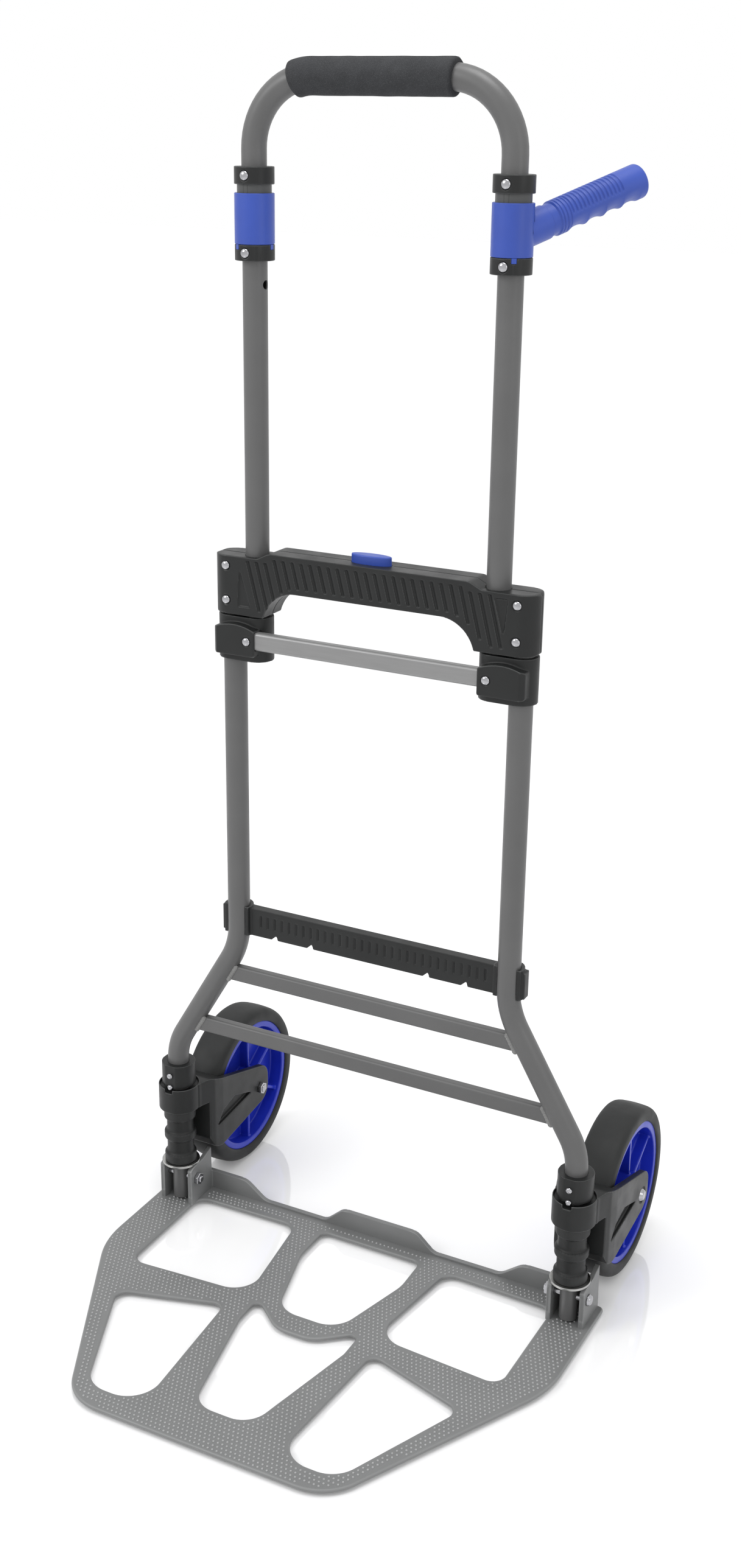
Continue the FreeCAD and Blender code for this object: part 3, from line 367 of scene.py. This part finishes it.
# Corners in mm: X from the middle, Y from the foot axis, and the radius that rounds the corner.
PLATE_RIGHT = ((134.4, -327, 50), (249, -107, 110), (249, 33, 6))
MIDDLE_HOLES = (((56, 13, 8), (-56, 13, 8), (-57, -32, 60),
                 (-33, -122, 28), (33, -122, 28), (57, -32, 60)),
                ((57, -120, 5), (46, -127, 8), (20, -149, 34), (-20, -149, 34), (-46, -127, 8),
                 (-57, -120, 5), (-57, -152, 25), (-30, -279, 26), (30, -279, 26), (57, -152, 25)))
SIDE_HOLES = (((88, 9, 16), (71, -114, 26), (204.5, -123, 14), (204.5, 6, 14)),
              ((82, -141, 9), (70, -302, 30), (130.3, -302, 30), (187.3, -172.7, 12)))
DECK_LOW, DECK_TOP = 2.4 * MM, 6.5 * MM
EDGE_ROUND = 1.9 * MM
ARC_STEP = 2.2
UPSTAND_SINK, UPSTAND_CUT = 1.5 * MM, 0.05 * MM
FLUTE_OFFSET, FLUTE_AHEAD = 17, 13.1
FLUTE_PROFILE = ((0.4, 12), (2.9, 15), (2.9, 42), (0.4, 45))
PAD_TOP, PAD_ROUND = 3, 0.6
# The pads under the deck: X and Y as above, and the pad's radius.
PADS = ((0, -303, 8), (227, 12, 8), (227, -66, 8), (200, -148, 8), (100, -314, 6),
        (-227, 12, 8), (-227, -66, 8), (-200, -148, 8), (-100, -314, 6))


def rounded_outline(corners):
    """Points round an outline whose corners (across, along, radius) are rounded."""
    points = []
    flat = [Vector((across, along)) for across, along, _ in corners]
    for index, (_, _, radius) in enumerate(corners):
        here = flat[index]
        inward = (flat[index - 1] - here).normalized()
        outward = (flat[(index + 1) % len(flat)] - here).normalized()
        half = inward.angle(outward) / 2
        centre = here + (inward + outward).normalized() * radius / math.sin(half)
        first = here + inward * radius / math.tan(half) - centre
        last = here + outward * radius / math.tan(half) - centre
        steps = max(4, int(radius * (math.pi - 2 * half) / ARC_STEP))
        sweep = first.angle_signed(last)
        for step in range(steps + 1):
            turn = -sweep * step / steps
            spoke = Vector((first.x * math.cos(turn) - first.y * math.sin(turn),
                            first.x * math.sin(turn) + first.y * math.cos(turn)))
            points.append(centre + spoke)
    return points


def mirrored(corners):
    return [(-across, along, radius) for across, along, radius in reversed(corners)]


def plate_deck():
    """The deck with its windows, every edge rolled over, and the pads beneath it."""
    outlines = [PLATE_RIGHT + tuple(mirrored(PLATE_RIGHT)), *MIDDLE_HOLES, *SIDE_HOLES]
    outlines += [mirrored(hole) for hole in SIDE_HOLES]
    sheet = bpy.data.curves.new("deck", "CURVE")
    sheet.dimensions = "2D"
    sheet.fill_mode = "BOTH"
    sheet.extrude = (DECK_TOP - DECK_LOW) / 2 - EDGE_ROUND
    sheet.bevel_depth = EDGE_ROUND
    sheet.bevel_resolution = 3
    sheet.offset = -EDGE_ROUND
    for outline in outlines:
        points = rounded_outline(outline)
        spline = sheet.splines.new("POLY")
        spline.points.add(len(points) - 1)
        for item, point in zip(spline.points, points):
            item.co = (point.x * MM, point.y * MM + FOOT_Y, 0, 1)
        spline.use_cyclic_u = True
    holder = bpy.data.objects.new("deck", sheet)
    scene.collection.objects.link(holder)
    bpy.context.view_layer.update()
    mesh = bpy.data.meshes.new_from_object(holder.evaluated_get(bpy.context.evaluated_depsgraph_get()))
    bpy.data.objects.remove(holder)
    mesh.transform(Matrix.Translation((0, 0, (DECK_TOP + DECK_LOW) / 2)))
    bm = bmesh.new()
    bm.from_mesh(mesh)
    bmesh.ops.remove_doubles(bm, verts=bm.verts, dist=0.004 * MM)
    for across, along, radius in PADS:
        place = Matrix.Translation((across * MM, FOOT_Y + along * MM, 0))
        turned(bm, ((radius - PAD_ROUND, 0), (radius, PAD_ROUND), (radius, PAD_TOP)), place, 32)
    piece = add("plate_deck", bm, "toe_plate", "plate_paint", "toe_plate")
    weighted = piece.modifiers.new("shading", "WEIGHTED_NORMAL")
    weighted.keep_sharp = False
    return settle(piece)


def plate_upstands():
    """The ears and the rear lip, standing in the deck, with hollow front edges on the ears."""
    piece = add("plate_upstands", cad_copy("toe_plate"), "toe_plate", "plate_paint")
    reach = 0.4
    foot_level = DECK_TOP + UPSTAND_CUT
    loops = [[Vector((across * reach, along * reach, up)) for across, along in
              ((-1, -1), (1, -1), (1, 1), (-1, 1))] for up in (-10 * MM, foot_level)]
    below = bmesh.new()
    prism(below, *loops)
    carve(piece, below)
    for vert in piece.data.vertices:
        if vert.co.z < foot_level + 0.01 * MM:
            vert.co.z -= UPSTAND_SINK
    carve(piece, ear_flutes())
    return soften(piece, 0.6, 4)


def ear_flutes():
    """Hollows down the front edges of the four ears."""
    tool = bmesh.new()
    for side, _ in SIDES:
        for offset in (-FLUTE_OFFSET, FLUTE_OFFSET):
            across = side * FOOT_X + offset * MM
            place = Matrix.Translation((across, FOOT_Y - FLUTE_AHEAD * MM, 0))
            turned(tool, FLUTE_PROFILE, place, 24)
    return tool


plate_deck()
plate_upstands()


def dot_places():
    """Staggered lattice points on the deck that keep clear of its edges, ears and lip."""
    plate_low, plate_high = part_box("toe_plate")
    bm = cad_copy("toe_plate")
    solid = BVHTree.FromBMesh(bm)
    bm.free()
    ring = [Vector((math.cos(turn), math.sin(turn), 0)) * DOT_MARGIN
            for turn in (math.tau * step / MARGIN_CHECKS for step in range(MARGIN_CHECKS))]

    def on_deck(point):
        hit = solid.ray_cast(point, Vector((0, 0, -1)))[0]
        return hit is not None and abs(hit.z - DECK_TOP) < LEVEL_SLACK

    places = []
    rows = int((plate_high.y - plate_low.y) / ROW_PITCH)
    columns = int((plate_high.x - plate_low.x) / DOT_PITCH)
    for row in range(rows):
        for column in range(-columns // 2, columns // 2 + 1):
            across = (column + 0.5 * (row % 2)) * DOT_PITCH
            point = Vector((across, plate_low.y + DOT_MARGIN + row * ROW_PITCH, 0.5))
            if on_deck(point) and all(on_deck(point + step) for step in ring):
                places.append(Vector((point.x, point.y, DECK_TOP)))
    return places


def deck_dots():
    """Raised dots on the deck, painted lighter than the paint round them: a painted highlight."""
    bm = bmesh.new()
    for centre in dot_places():
        rows = turned_rows(DOT_PROFILE, Matrix.Translation(centre), DOT_SIDES)
        rings = [[bm.verts.new(point) for point in row] for row in rows]
        bridge(bm, rings)
        bm.faces.new(rings[-1])
    piece = add("deck_dots", bm, "toe_plate", "plate_paint")
    # Lighter, glossier paint on the dots: the lighter colour is a painted highlight.
    piece.data.materials[0] = finish_material("plate_paint_glossy_painted_highlight", (150, 151, 151), cloud=18,
                                              rough=(0.2, 0.28), grain=1300, relief=0.01)


deck_dots()

# ---------------------------------------------------------------- rivets
RIVET_RING, RING_DEPTH = 1.1 * MM, 1.0 * MM
RIVET_DOME, DOME_SHARE, DOME_STEPS = 2.2, 0.8, 9
SCREW_PROUD = 0.8


def loose_boxes(node):
    """The lowest and highest corners of each separate solid of a node."""
    bm = cad_copy(node)
    reached = set()
    boxes = []
    for start in bm.verts:
        if start in reached:
            continue
        found, edge = set(), {start}
        while edge:
            found |= edge
            edge = {link.other_vert(vert) for vert in edge for link in vert.link_edges} - found
        reached |= found
        boxes.append([Vector([pick(vert.co[axis] for vert in found) for axis in range(3)])
                      for pick in (min, max)])
    bm.free()
    return boxes


def domed_rivets(node, proud=0.0):
    """Domed heads that face the front, in place of a node's rivets, proud mm further out."""
    bm = bmesh.new()
    for low, high in loose_boxes(node):
        centre = (low + high) / 2
        radius = (high.z - low.z) / 2 / MM
        depth = (high.y - low.y) / MM
        dome = min(RIVET_DOME, depth * DOME_SHARE)
        profile = [(radius * 0.9, 0), (radius, 0.2), (radius, depth - dome)]
        profile += [(radius * math.cos(turn), depth - dome + dome * math.sin(turn))
                    for turn in (math.pi / 2 * step / DOME_STEPS for step in range(1, DOME_STEPS))]
        profile.append((0.02, depth))
        root = Vector((centre.x, high.y - proud * MM, centre.z))
        turned(bm, profile, axis_place(root, TO_FRONT), 36)
    add(f"{node}_domed", bm, nodes[node]["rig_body"], "bright_steel", node)


def rivet_rings(tool, node, face):
    """Adds round recesses for the rings about a node's rivets, in a face that looks to the front."""
    for low, high in loose_boxes(node):
        centre = (low + high) / 2
        radius = ((high.z - low.z) / 2 + RIVET_RING) / MM
        place = axis_place(Vector((centre.x, face + RING_DEPTH, centre.z)), TO_FRONT)
        turned(tool, ((radius, 0), (radius, 4)), place, 36)


for node in ("housing_rivets", "collar_rivets", "slider_rivets"):
    domed_rivets(node)
domed_rivets("foot_collar_screws", SCREW_PROUD)

# ---------------------------------------------------------------- housing
HOUSING_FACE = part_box("housing_front")[0].y
# Grooves and the arch of the hand opening below them, in mm.
GROOVE_PITCH, GROOVE_LEAN, GROOVE_SHIFT, GROOVE_EACH_SIDE = 9.3, 0.26, -3, 13
GROOVE_WIDTH, GROOVE_DEPTH = 4.6, 2.2
GROOVE_FOOT, GROOVE_TOP, GROOVE_TOP_AT_ENDS, GROOVE_ENDS_FROM = 674, 725, 721, 98
GROOVE_GAP, GROOVE_SHORTEST = 5, 8
ARCH_HALF, ARCH_RADIUS, ARCH_TOP = 72, 35, 695
PANELS = (((-132.7, 676.5), (-119.8, 676.5), (-131, 713)), ((124, 718.5), (137, 718.5), (133.7, 684)))
PANEL_DEPTH = 1.5


def groove(bm, across, low, high, lean, width, depth, face):
    """One slanted groove, steep on its left and shallow on its right; face is in m, the rest in mm."""
    loops = []
    for height in (low, high):
        shift = across + lean * (high - height)
        loops.append([Vector((shift * MM, face - 1 * MM, height * MM)),
                      Vector(((shift + width) * MM, face - 1 * MM, height * MM)),
                      Vector(((shift + width) * MM, face, height * MM)),
                      Vector(((shift + 0.5) * MM, face + depth * MM, height * MM)),
                      Vector((shift * MM, face, height * MM))])
    prism(bm, *loops)


def housing_details():
    """The grooves above the hand opening, a triangular panel at each end and rings about the rivets."""
    tool = bmesh.new()
    for index in range(-GROOVE_EACH_SIDE, GROOVE_EACH_SIDE + 1):
        across = index * GROOVE_PITCH + GROOVE_SHIFT
        past = min(max(0, abs(across + GROOVE_WIDTH) - ARCH_HALF), ARCH_RADIUS)
        low = ARCH_TOP - ARCH_RADIUS + math.sqrt(ARCH_RADIUS ** 2 - past ** 2) + GROOVE_GAP
        low = max(low, GROOVE_FOOT)
        high = GROOVE_TOP if abs(across) < GROOVE_ENDS_FROM else GROOVE_TOP_AT_ENDS
        if low < high - GROOVE_SHORTEST:
            groove(tool, across, low, high, GROOVE_LEAN, GROOVE_WIDTH, GROOVE_DEPTH, HOUSING_FACE)
    for panel in PANELS:
        loops = [[Vector((across * MM, HOUSING_FACE + depth * MM, up * MM)) for across, up in panel]
                 for depth in (-1, PANEL_DEPTH)]
        prism(tool, *loops)
    rivet_rings(tool, "housing_rivets", HOUSING_FACE)
    return tool


moulded("housing_front", 0.7, housing_details())
moulded("housing_rear", 0.8)
moulded("release_button", 0.6, passes=8)

# ---------------------------------------------------------------- stop strip
STRIP_PITCH, STRIP_EACH_SIDE, STRIP_FROM, STRIP_TO = 8.1, 15, 347, 360
STRIP_WIDTH, STRIP_DEPTH, STRIP_FACE = 2.8, 1.7, FOOT_Y - 2 * MM


def strip_grooves():
    """Upright grooves between the ribs of the strip."""
    tool = bmesh.new()
    for index in range(-STRIP_EACH_SIDE, STRIP_EACH_SIDE + 1):
        groove(tool, index * STRIP_PITCH, STRIP_FROM, STRIP_TO, 0, STRIP_WIDTH, STRIP_DEPTH, STRIP_FACE)
    return tool


moulded("stop_strip", 0.6, strip_grooves(), passes=3)

# ---------------------------------------------------------------- frame, handle and sliders
for node in ("upper_crossbar", "lower_crossbar", "link_bar"):
    refined(node, 0.6)
for _, word in SIDES:
    moulded(f"slider_{word}", 0.6)
    for node in ("foot_collar", "upper_collar", "lower_collar"):
        moulded(f"{node}_{word}", 0.5, passes=3)
    refined(f"foot_washer_{word}", 0.4)
    refined(f"spring_sleeve_{word}", 1.3, segments=3)
refined("grip_sleeve_right", 0.7)
refined("leg_sleeve_left", 0.7)


LOBES, LOBE_FROM, LOBE_STEP = 7, 0.08, 0.14
LOBE_INSET, LOBE_AHEAD, LOBE_VARY = 0.9 * MM, 1.6 * MM, 0.3


def weld_beads():
    """A row of weld lobes where each end of the crossbars meets its tube, on the front."""
    bm = bmesh.new()
    for side, word in SIDES:
        tube_mesh = cad_copy(f"lower_tube_{word}")
        tube = BVHTree.FromBMesh(tube_mesh)
        tube_mesh.free()
        for bar in ("upper_crossbar", "lower_crossbar"):
            low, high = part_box(bar)
            for lobe in range(LOBES):
                up = low.z + (high.z - low.z) * (LOBE_FROM + LOBE_STEP * lobe)
                joint = tube.ray_cast(Vector((0, low.y, up)), Vector((side, 0, 0)))[0]
                centre = joint - Vector((side * LOBE_INSET, 0, 0))
                place = axis_place(centre - Vector((0, LOBE_AHEAD, 0)), Vector((0, 1, 0)))
                swell = LOBE_VARY * noise.noise(centre * 400)
                profile = ((0.4, 0), (1.9 + swell, 0.35), (2.8 + swell, 1.3), (2.9, 2.6), (0.5, 3))
                turned(bm, profile, place, 14)
    piece = add("weld_beads", bm, "frame", "frame_paint")
    # Lighter paint on the beads than on the frame: a painted sheen for their shine.
    piece.data.materials[0] = finish_material("weld_paint_painted_sheen", (118, 118, 117), vary=0.1, cloud=120,
                                              rough=(0.24, 0.34), relief=0.06)


weld_beads()

# ---------------------------------------------------------------- foam grip
foam_low, foam_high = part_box("foam_grip")
HANDLE_BEND = 58 * MM
FOAM_R = (foam_high.y - foam_low.y) / 2
STRAIGHT = LEG_X - HANDLE_BEND
HANDLE_Z = foam_high.z - FOAM_R
FOAM_FROM, FOAM_TO, FOAM_STEPS, FOAM_SIDES = -81.5 * MM, 68.3 * MM, 110, 56
FOAM_LIP, FOAM_LIP_REACH = 1.8, 2.2


def handle_point(run):
    """Centre and direction of the handle's top, run metres to the right of its middle."""
    past = abs(run) - STRAIGHT
    if past <= 0:
        return Vector((run, FOOT_Y, HANDLE_Z)), Vector((1, 0, 0))
    side = math.copysign(1, run)
    turn = past / HANDLE_BEND
    centre = Vector((side * (STRAIGHT + HANDLE_BEND * math.sin(turn)), FOOT_Y,
                     HANDLE_Z - HANDLE_BEND * (1 - math.cos(turn))))
    return centre, Vector((math.cos(turn), 0, -side * math.sin(turn)))


def foam_grip():
    """Foam sleeve that follows the handle's bend, with softened ends and faint dents."""
    rows = []
    for step in range(FOAM_STEPS + 1):
        run = FOAM_FROM + (FOAM_TO - FOAM_FROM) * step / FOAM_STEPS
        centre, along = handle_point(run)
        up = Vector((0, 1, 0)).cross(along) * -1
        edge = min(run - FOAM_FROM, FOAM_TO - run) / MM
        lip = FOAM_LIP * (1 - min(1, edge / FOAM_LIP_REACH)) ** 2
        row = []
        for side in range(FOAM_SIDES):
            turn = math.tau * side / FOAM_SIDES
            way = up * math.cos(turn) + Vector((0, 1, 0)) * math.sin(turn)
            dent = 0.22 * noise.noise(centre * 70 + way * 1.5) - 0.12
            row.append(centre + way * (FOAM_R + (dent - lip) * MM))
        rows.append(row)
    bm = bmesh.new()
    grid_tube(bm, rows)
    bmesh.ops.recalc_face_normals(bm, faces=bm.faces)
    piece = add("foam_grip_sleeve", bm, "handle", "foam", "foam_grip")
    round_edges(piece, 0.5, sharp=50)


foam_grip()

# ---------------------------------------------------------------- side grip
GRIP_TURN, GRIP_RISE = math.radians(150), math.radians(18)
GRIP_START = Vector((LEG_X, FOOT_Y, 1014 * MM))
GRIP_ALONG = Vector((math.cos(GRIP_RISE) * math.sin(GRIP_TURN), -math.cos(GRIP_RISE) * math.cos(GRIP_TURN),
                     math.sin(GRIP_RISE)))
# Figures in mm; heights run along the grip from the leg's axis.
GRIP_R, GRIP_FROM, GRIP_LENGTH, GRIP_STEP, GRIP_SIDES = 13, 33.6, 135, 0.35, 72
NECK_END, NECK_SHOULDER, NECK_FADE = 40.5, 1.4, 1.5
RING_FROM, RING_PITCH, RING_COUNT, RING_HALF, RING_CUT = 44, 3.6, 3, 0.95, 0.9
RIB_FROM, RIB_PITCH, RIB_COUNT, RIB_HALF, RIB_CUT = 54, 4.1, 14, 1.1, 1.1
FINGER_FROM, FINGER_PITCH, FINGER_COUNT, FINGER_CUT = 60, 19, 4, 2.0
END_ROUND = 2.5


def grip_radius(height, lean):
    """Radius in mm at a height along the grip; lean is 1 on its upper line and -1 underneath."""
    radius = GRIP_R + NECK_SHOULDER * min(1, max(0, (height - NECK_END) / NECK_FADE))
    for ring in range(RING_COUNT):
        away = abs(height - (RING_FROM + RING_PITCH * ring)) / RING_HALF
        if away < 1:
            radius -= RING_CUT * math.cos(away * math.pi / 2) ** 2
    if lean > 0.05:
        for rib in range(RIB_COUNT):
            away = abs(height - (RIB_FROM + RIB_PITCH * rib)) / RIB_HALF
            if away < 1:
                radius -= RIB_CUT * math.cos(away * math.pi / 2) * min(1, (lean - 0.05) * 8)
    if lean < -0.15:
        reach = (height - FINGER_FROM + FINGER_PITCH / 2) / FINGER_PITCH
        if 0 < reach < FINGER_COUNT:
            across = abs(reach % 1 - 0.5) * 2
            radius -= FINGER_CUT * (1 - across ** 2.2) * min(1, (-lean - 0.15) * 1.6)
    end = GRIP_LENGTH - height
    if end < END_ROUND:
        radius -= END_ROUND - math.sqrt(max(0, END_ROUND ** 2 - (END_ROUND - end) ** 2))
    return radius


def side_grip():
    """The blue grip: rings behind its neck, ribs along the top, finger hollows underneath."""
    place = axis_place(GRIP_START, GRIP_ALONG)
    heights = [GRIP_FROM + GRIP_STEP * step for step in range(int((GRIP_LENGTH - GRIP_FROM) / GRIP_STEP))]
    heights.append(GRIP_LENGTH - 0.02)
    rows = []
    for height in heights:
        row = []
        for side in range(GRIP_SIDES):
            turn = math.tau * side / GRIP_SIDES
            radius = grip_radius(height, math.cos(turn))
            point = Vector((radius * math.cos(turn) * MM, radius * math.sin(turn) * MM, height * MM))
            row.append(place @ point)
        rows.append(row)
    bm = bmesh.new()
    grid_tube(bm, rows)
    add("side_grip_ribbed", bm, "side_grip", "blue_plastic", "side_grip")


side_grip()

# ---------------------------------------------------------------- wheels and brackets
AXLE = {side: (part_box(f"tyre_{word}")[0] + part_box(f"tyre_{word}")[1]) / 2 for side, word in SIDES}
BEAD_R, SEAT_HALF, TYRE_R, TYRE_SIDES = 72.7, 17, 88, 128
ARM_FACE, RECESS_DEPTH = 29, 4.2
RECESS_CORNERS = ((30, 84), (99, 91.5), (64, 104), (41, 98.5))
# Half a tyre's section in mm, from the bead to the crown: radius, then distance from its middle plane.
TYRE_HALF = ((BEAD_R, 18.2), (73.6, 19.4), (75.4, 19.9), (78, 20), (81, 19.9), (83.2, 19.4), (84.8, 18.4),
             (86.0, 16.9), (86.8, 14.9), (87.4, 12), (87.7, 8), (87.9, 4))


def tyre_profile():
    """The tyre's section from one bead over the crown to the other."""
    mirror = [(radius, -across) for radius, across in reversed(TYRE_HALF)]
    return [*TYRE_HALF, (TYRE_R, 0), *mirror]


def tyre(side, word):
    """A tyre whose section closes on itself through the bead seat."""
    place = axis_place(AXLE[side], Vector((1, 0, 0)))
    profile = tyre_profile() + [(BEAD_R, -SEAT_HALF), (BEAD_R, SEAT_HALF)]
    bm = bmesh.new()
    rings = [[bm.verts.new(point) for point in row] for row in turned_rows(profile, place, TYRE_SIDES)]
    bridge(bm, rings + rings[:1])
    bmesh.ops.recalc_face_normals(bm, faces=bm.faces)
    add(f"tyre_{word}_rounded", bm, f"wheel_{word}", "tyre_rubber", f"tyre_{word}")


def arm_recesses(side):
    """Wedge-shaped hollows in the outer faces of a bracket's two arms."""
    tool = bmesh.new()
    for way in (-1, 1):
        face = side * FOOT_X + way * ARM_FACE * MM
        loops = [[Vector((face + way * rise * MM, FOOT_Y + along * MM, up * MM))
                  for along, up in RECESS_CORNERS] for rise in (1, -RECESS_DEPTH)]
        prism(tool, *loops)
    return tool


for side, word in SIDES:
    tyre(side, word)
    moulded(f"rim_{word}", 0.8, passes=4)
    moulded(f"wheel_bracket_{word}", 0.7, arm_recesses(side))
    refined(f"axle_{word}", 0.8)
    refined(f"axle_nut_{word}", 0.5)
refined("pivot_bolts", 1.2, segments=3)
refined("pivot_nuts", 0.5)

# ---------------------------------------------------------------- floor, light and camera
FLOOR_HALF, FLOOR_Z = 14, -0.4 * MM


def backdrop():
    """A wide pale floor, a little glossy, so that the pieces mirror faintly in it."""
    bm = bmesh.new()
    bm.faces.new([bm.verts.new((across * FLOOR_HALF, along * FLOOR_HALF, FLOOR_Z)) for across, along in
                  ((-1, -1), (1, -1), (1, 1), (-1, 1))])
    mesh = bpy.data.meshes.new("floor")
    bm.to_mesh(mesh)
    bm.free()
    floor = bpy.data.objects.new("floor", mesh)
    scene.collection.objects.link(floor)
    surface = bpy.data.materials.new("floor_white")
    surface.use_nodes = True
    shader = surface.node_tree.nodes["Principled BSDF"]
    shader.inputs["Base Color"].default_value = (0.84, 0.84, 0.845, 1)
    shader.inputs["Roughness"].default_value = 0.05
    shader.inputs["IOR"].default_value = 2.1
    shader.inputs["Emission Color"].default_value = (1, 1, 1, 1)
    shader.inputs["Emission Strength"].default_value = 0.1
    mesh.materials.append(surface)


backdrop()

world = bpy.data.worlds.new("studio")
world.use_nodes = True
sky = world.node_tree.nodes["Background"]
sky.inputs["Color"].default_value = (1, 1, 1, 1)
sky.inputs["Strength"].default_value = 1.0
scene.world = world


def softbox(name, at, towards, size, power):
    """A square area lamp, size m wide and power W, that looks from one point towards another."""
    lamp = bpy.data.lights.new(name, "AREA")
    lamp.shape = "SQUARE"
    lamp.size = size
    lamp.energy = power
    holder = bpy.data.objects.new(name, lamp)
    holder.location = at
    holder.rotation_euler = (Vector(towards) - Vector(at)).to_track_quat("-Z", "Y").to_euler()
    scene.collection.objects.link(holder)


softbox("key", (-1.6, -1.8, 2.2), (0, 0, 0.5), 1.2, 26)
softbox("top", (0.2, -0.1, 2.6), (0, 0, 0.3), 0.9, 16)
softbox("side", (2.2, -0.6, 1.3), (0, 0, 0.6), 1.0, 4)

CAMERA_AT = Vector((0.7293, -1.3529, 1.1106))
AZIMUTH, ELEVATION, ROLL = (math.radians(turn) for turn in (27.32, 20.35, 0.774))
back = Vector((math.sin(AZIMUTH) * math.cos(ELEVATION), -math.cos(AZIMUTH) * math.cos(ELEVATION),
               math.sin(ELEVATION)))
level = Vector((math.cos(AZIMUTH), math.sin(AZIMUTH), 0))
upright = back.cross(level)
right = level * math.cos(ROLL) + upright * math.sin(ROLL)
above = upright * math.cos(ROLL) - level * math.sin(ROLL)
lens = bpy.data.cameras.new("camera")
lens.lens = 41.92
lens.clip_start, lens.clip_end = 0.05, 60
camera = bpy.data.objects.new("camera", lens)
camera.matrix_world = Matrix.Translation(CAMERA_AT) @ Matrix((right, above, back)).transposed().to_4x4()
scene.collection.objects.link(camera)
scene.camera = camera
scene.view_settings.view_transform = "Standard"
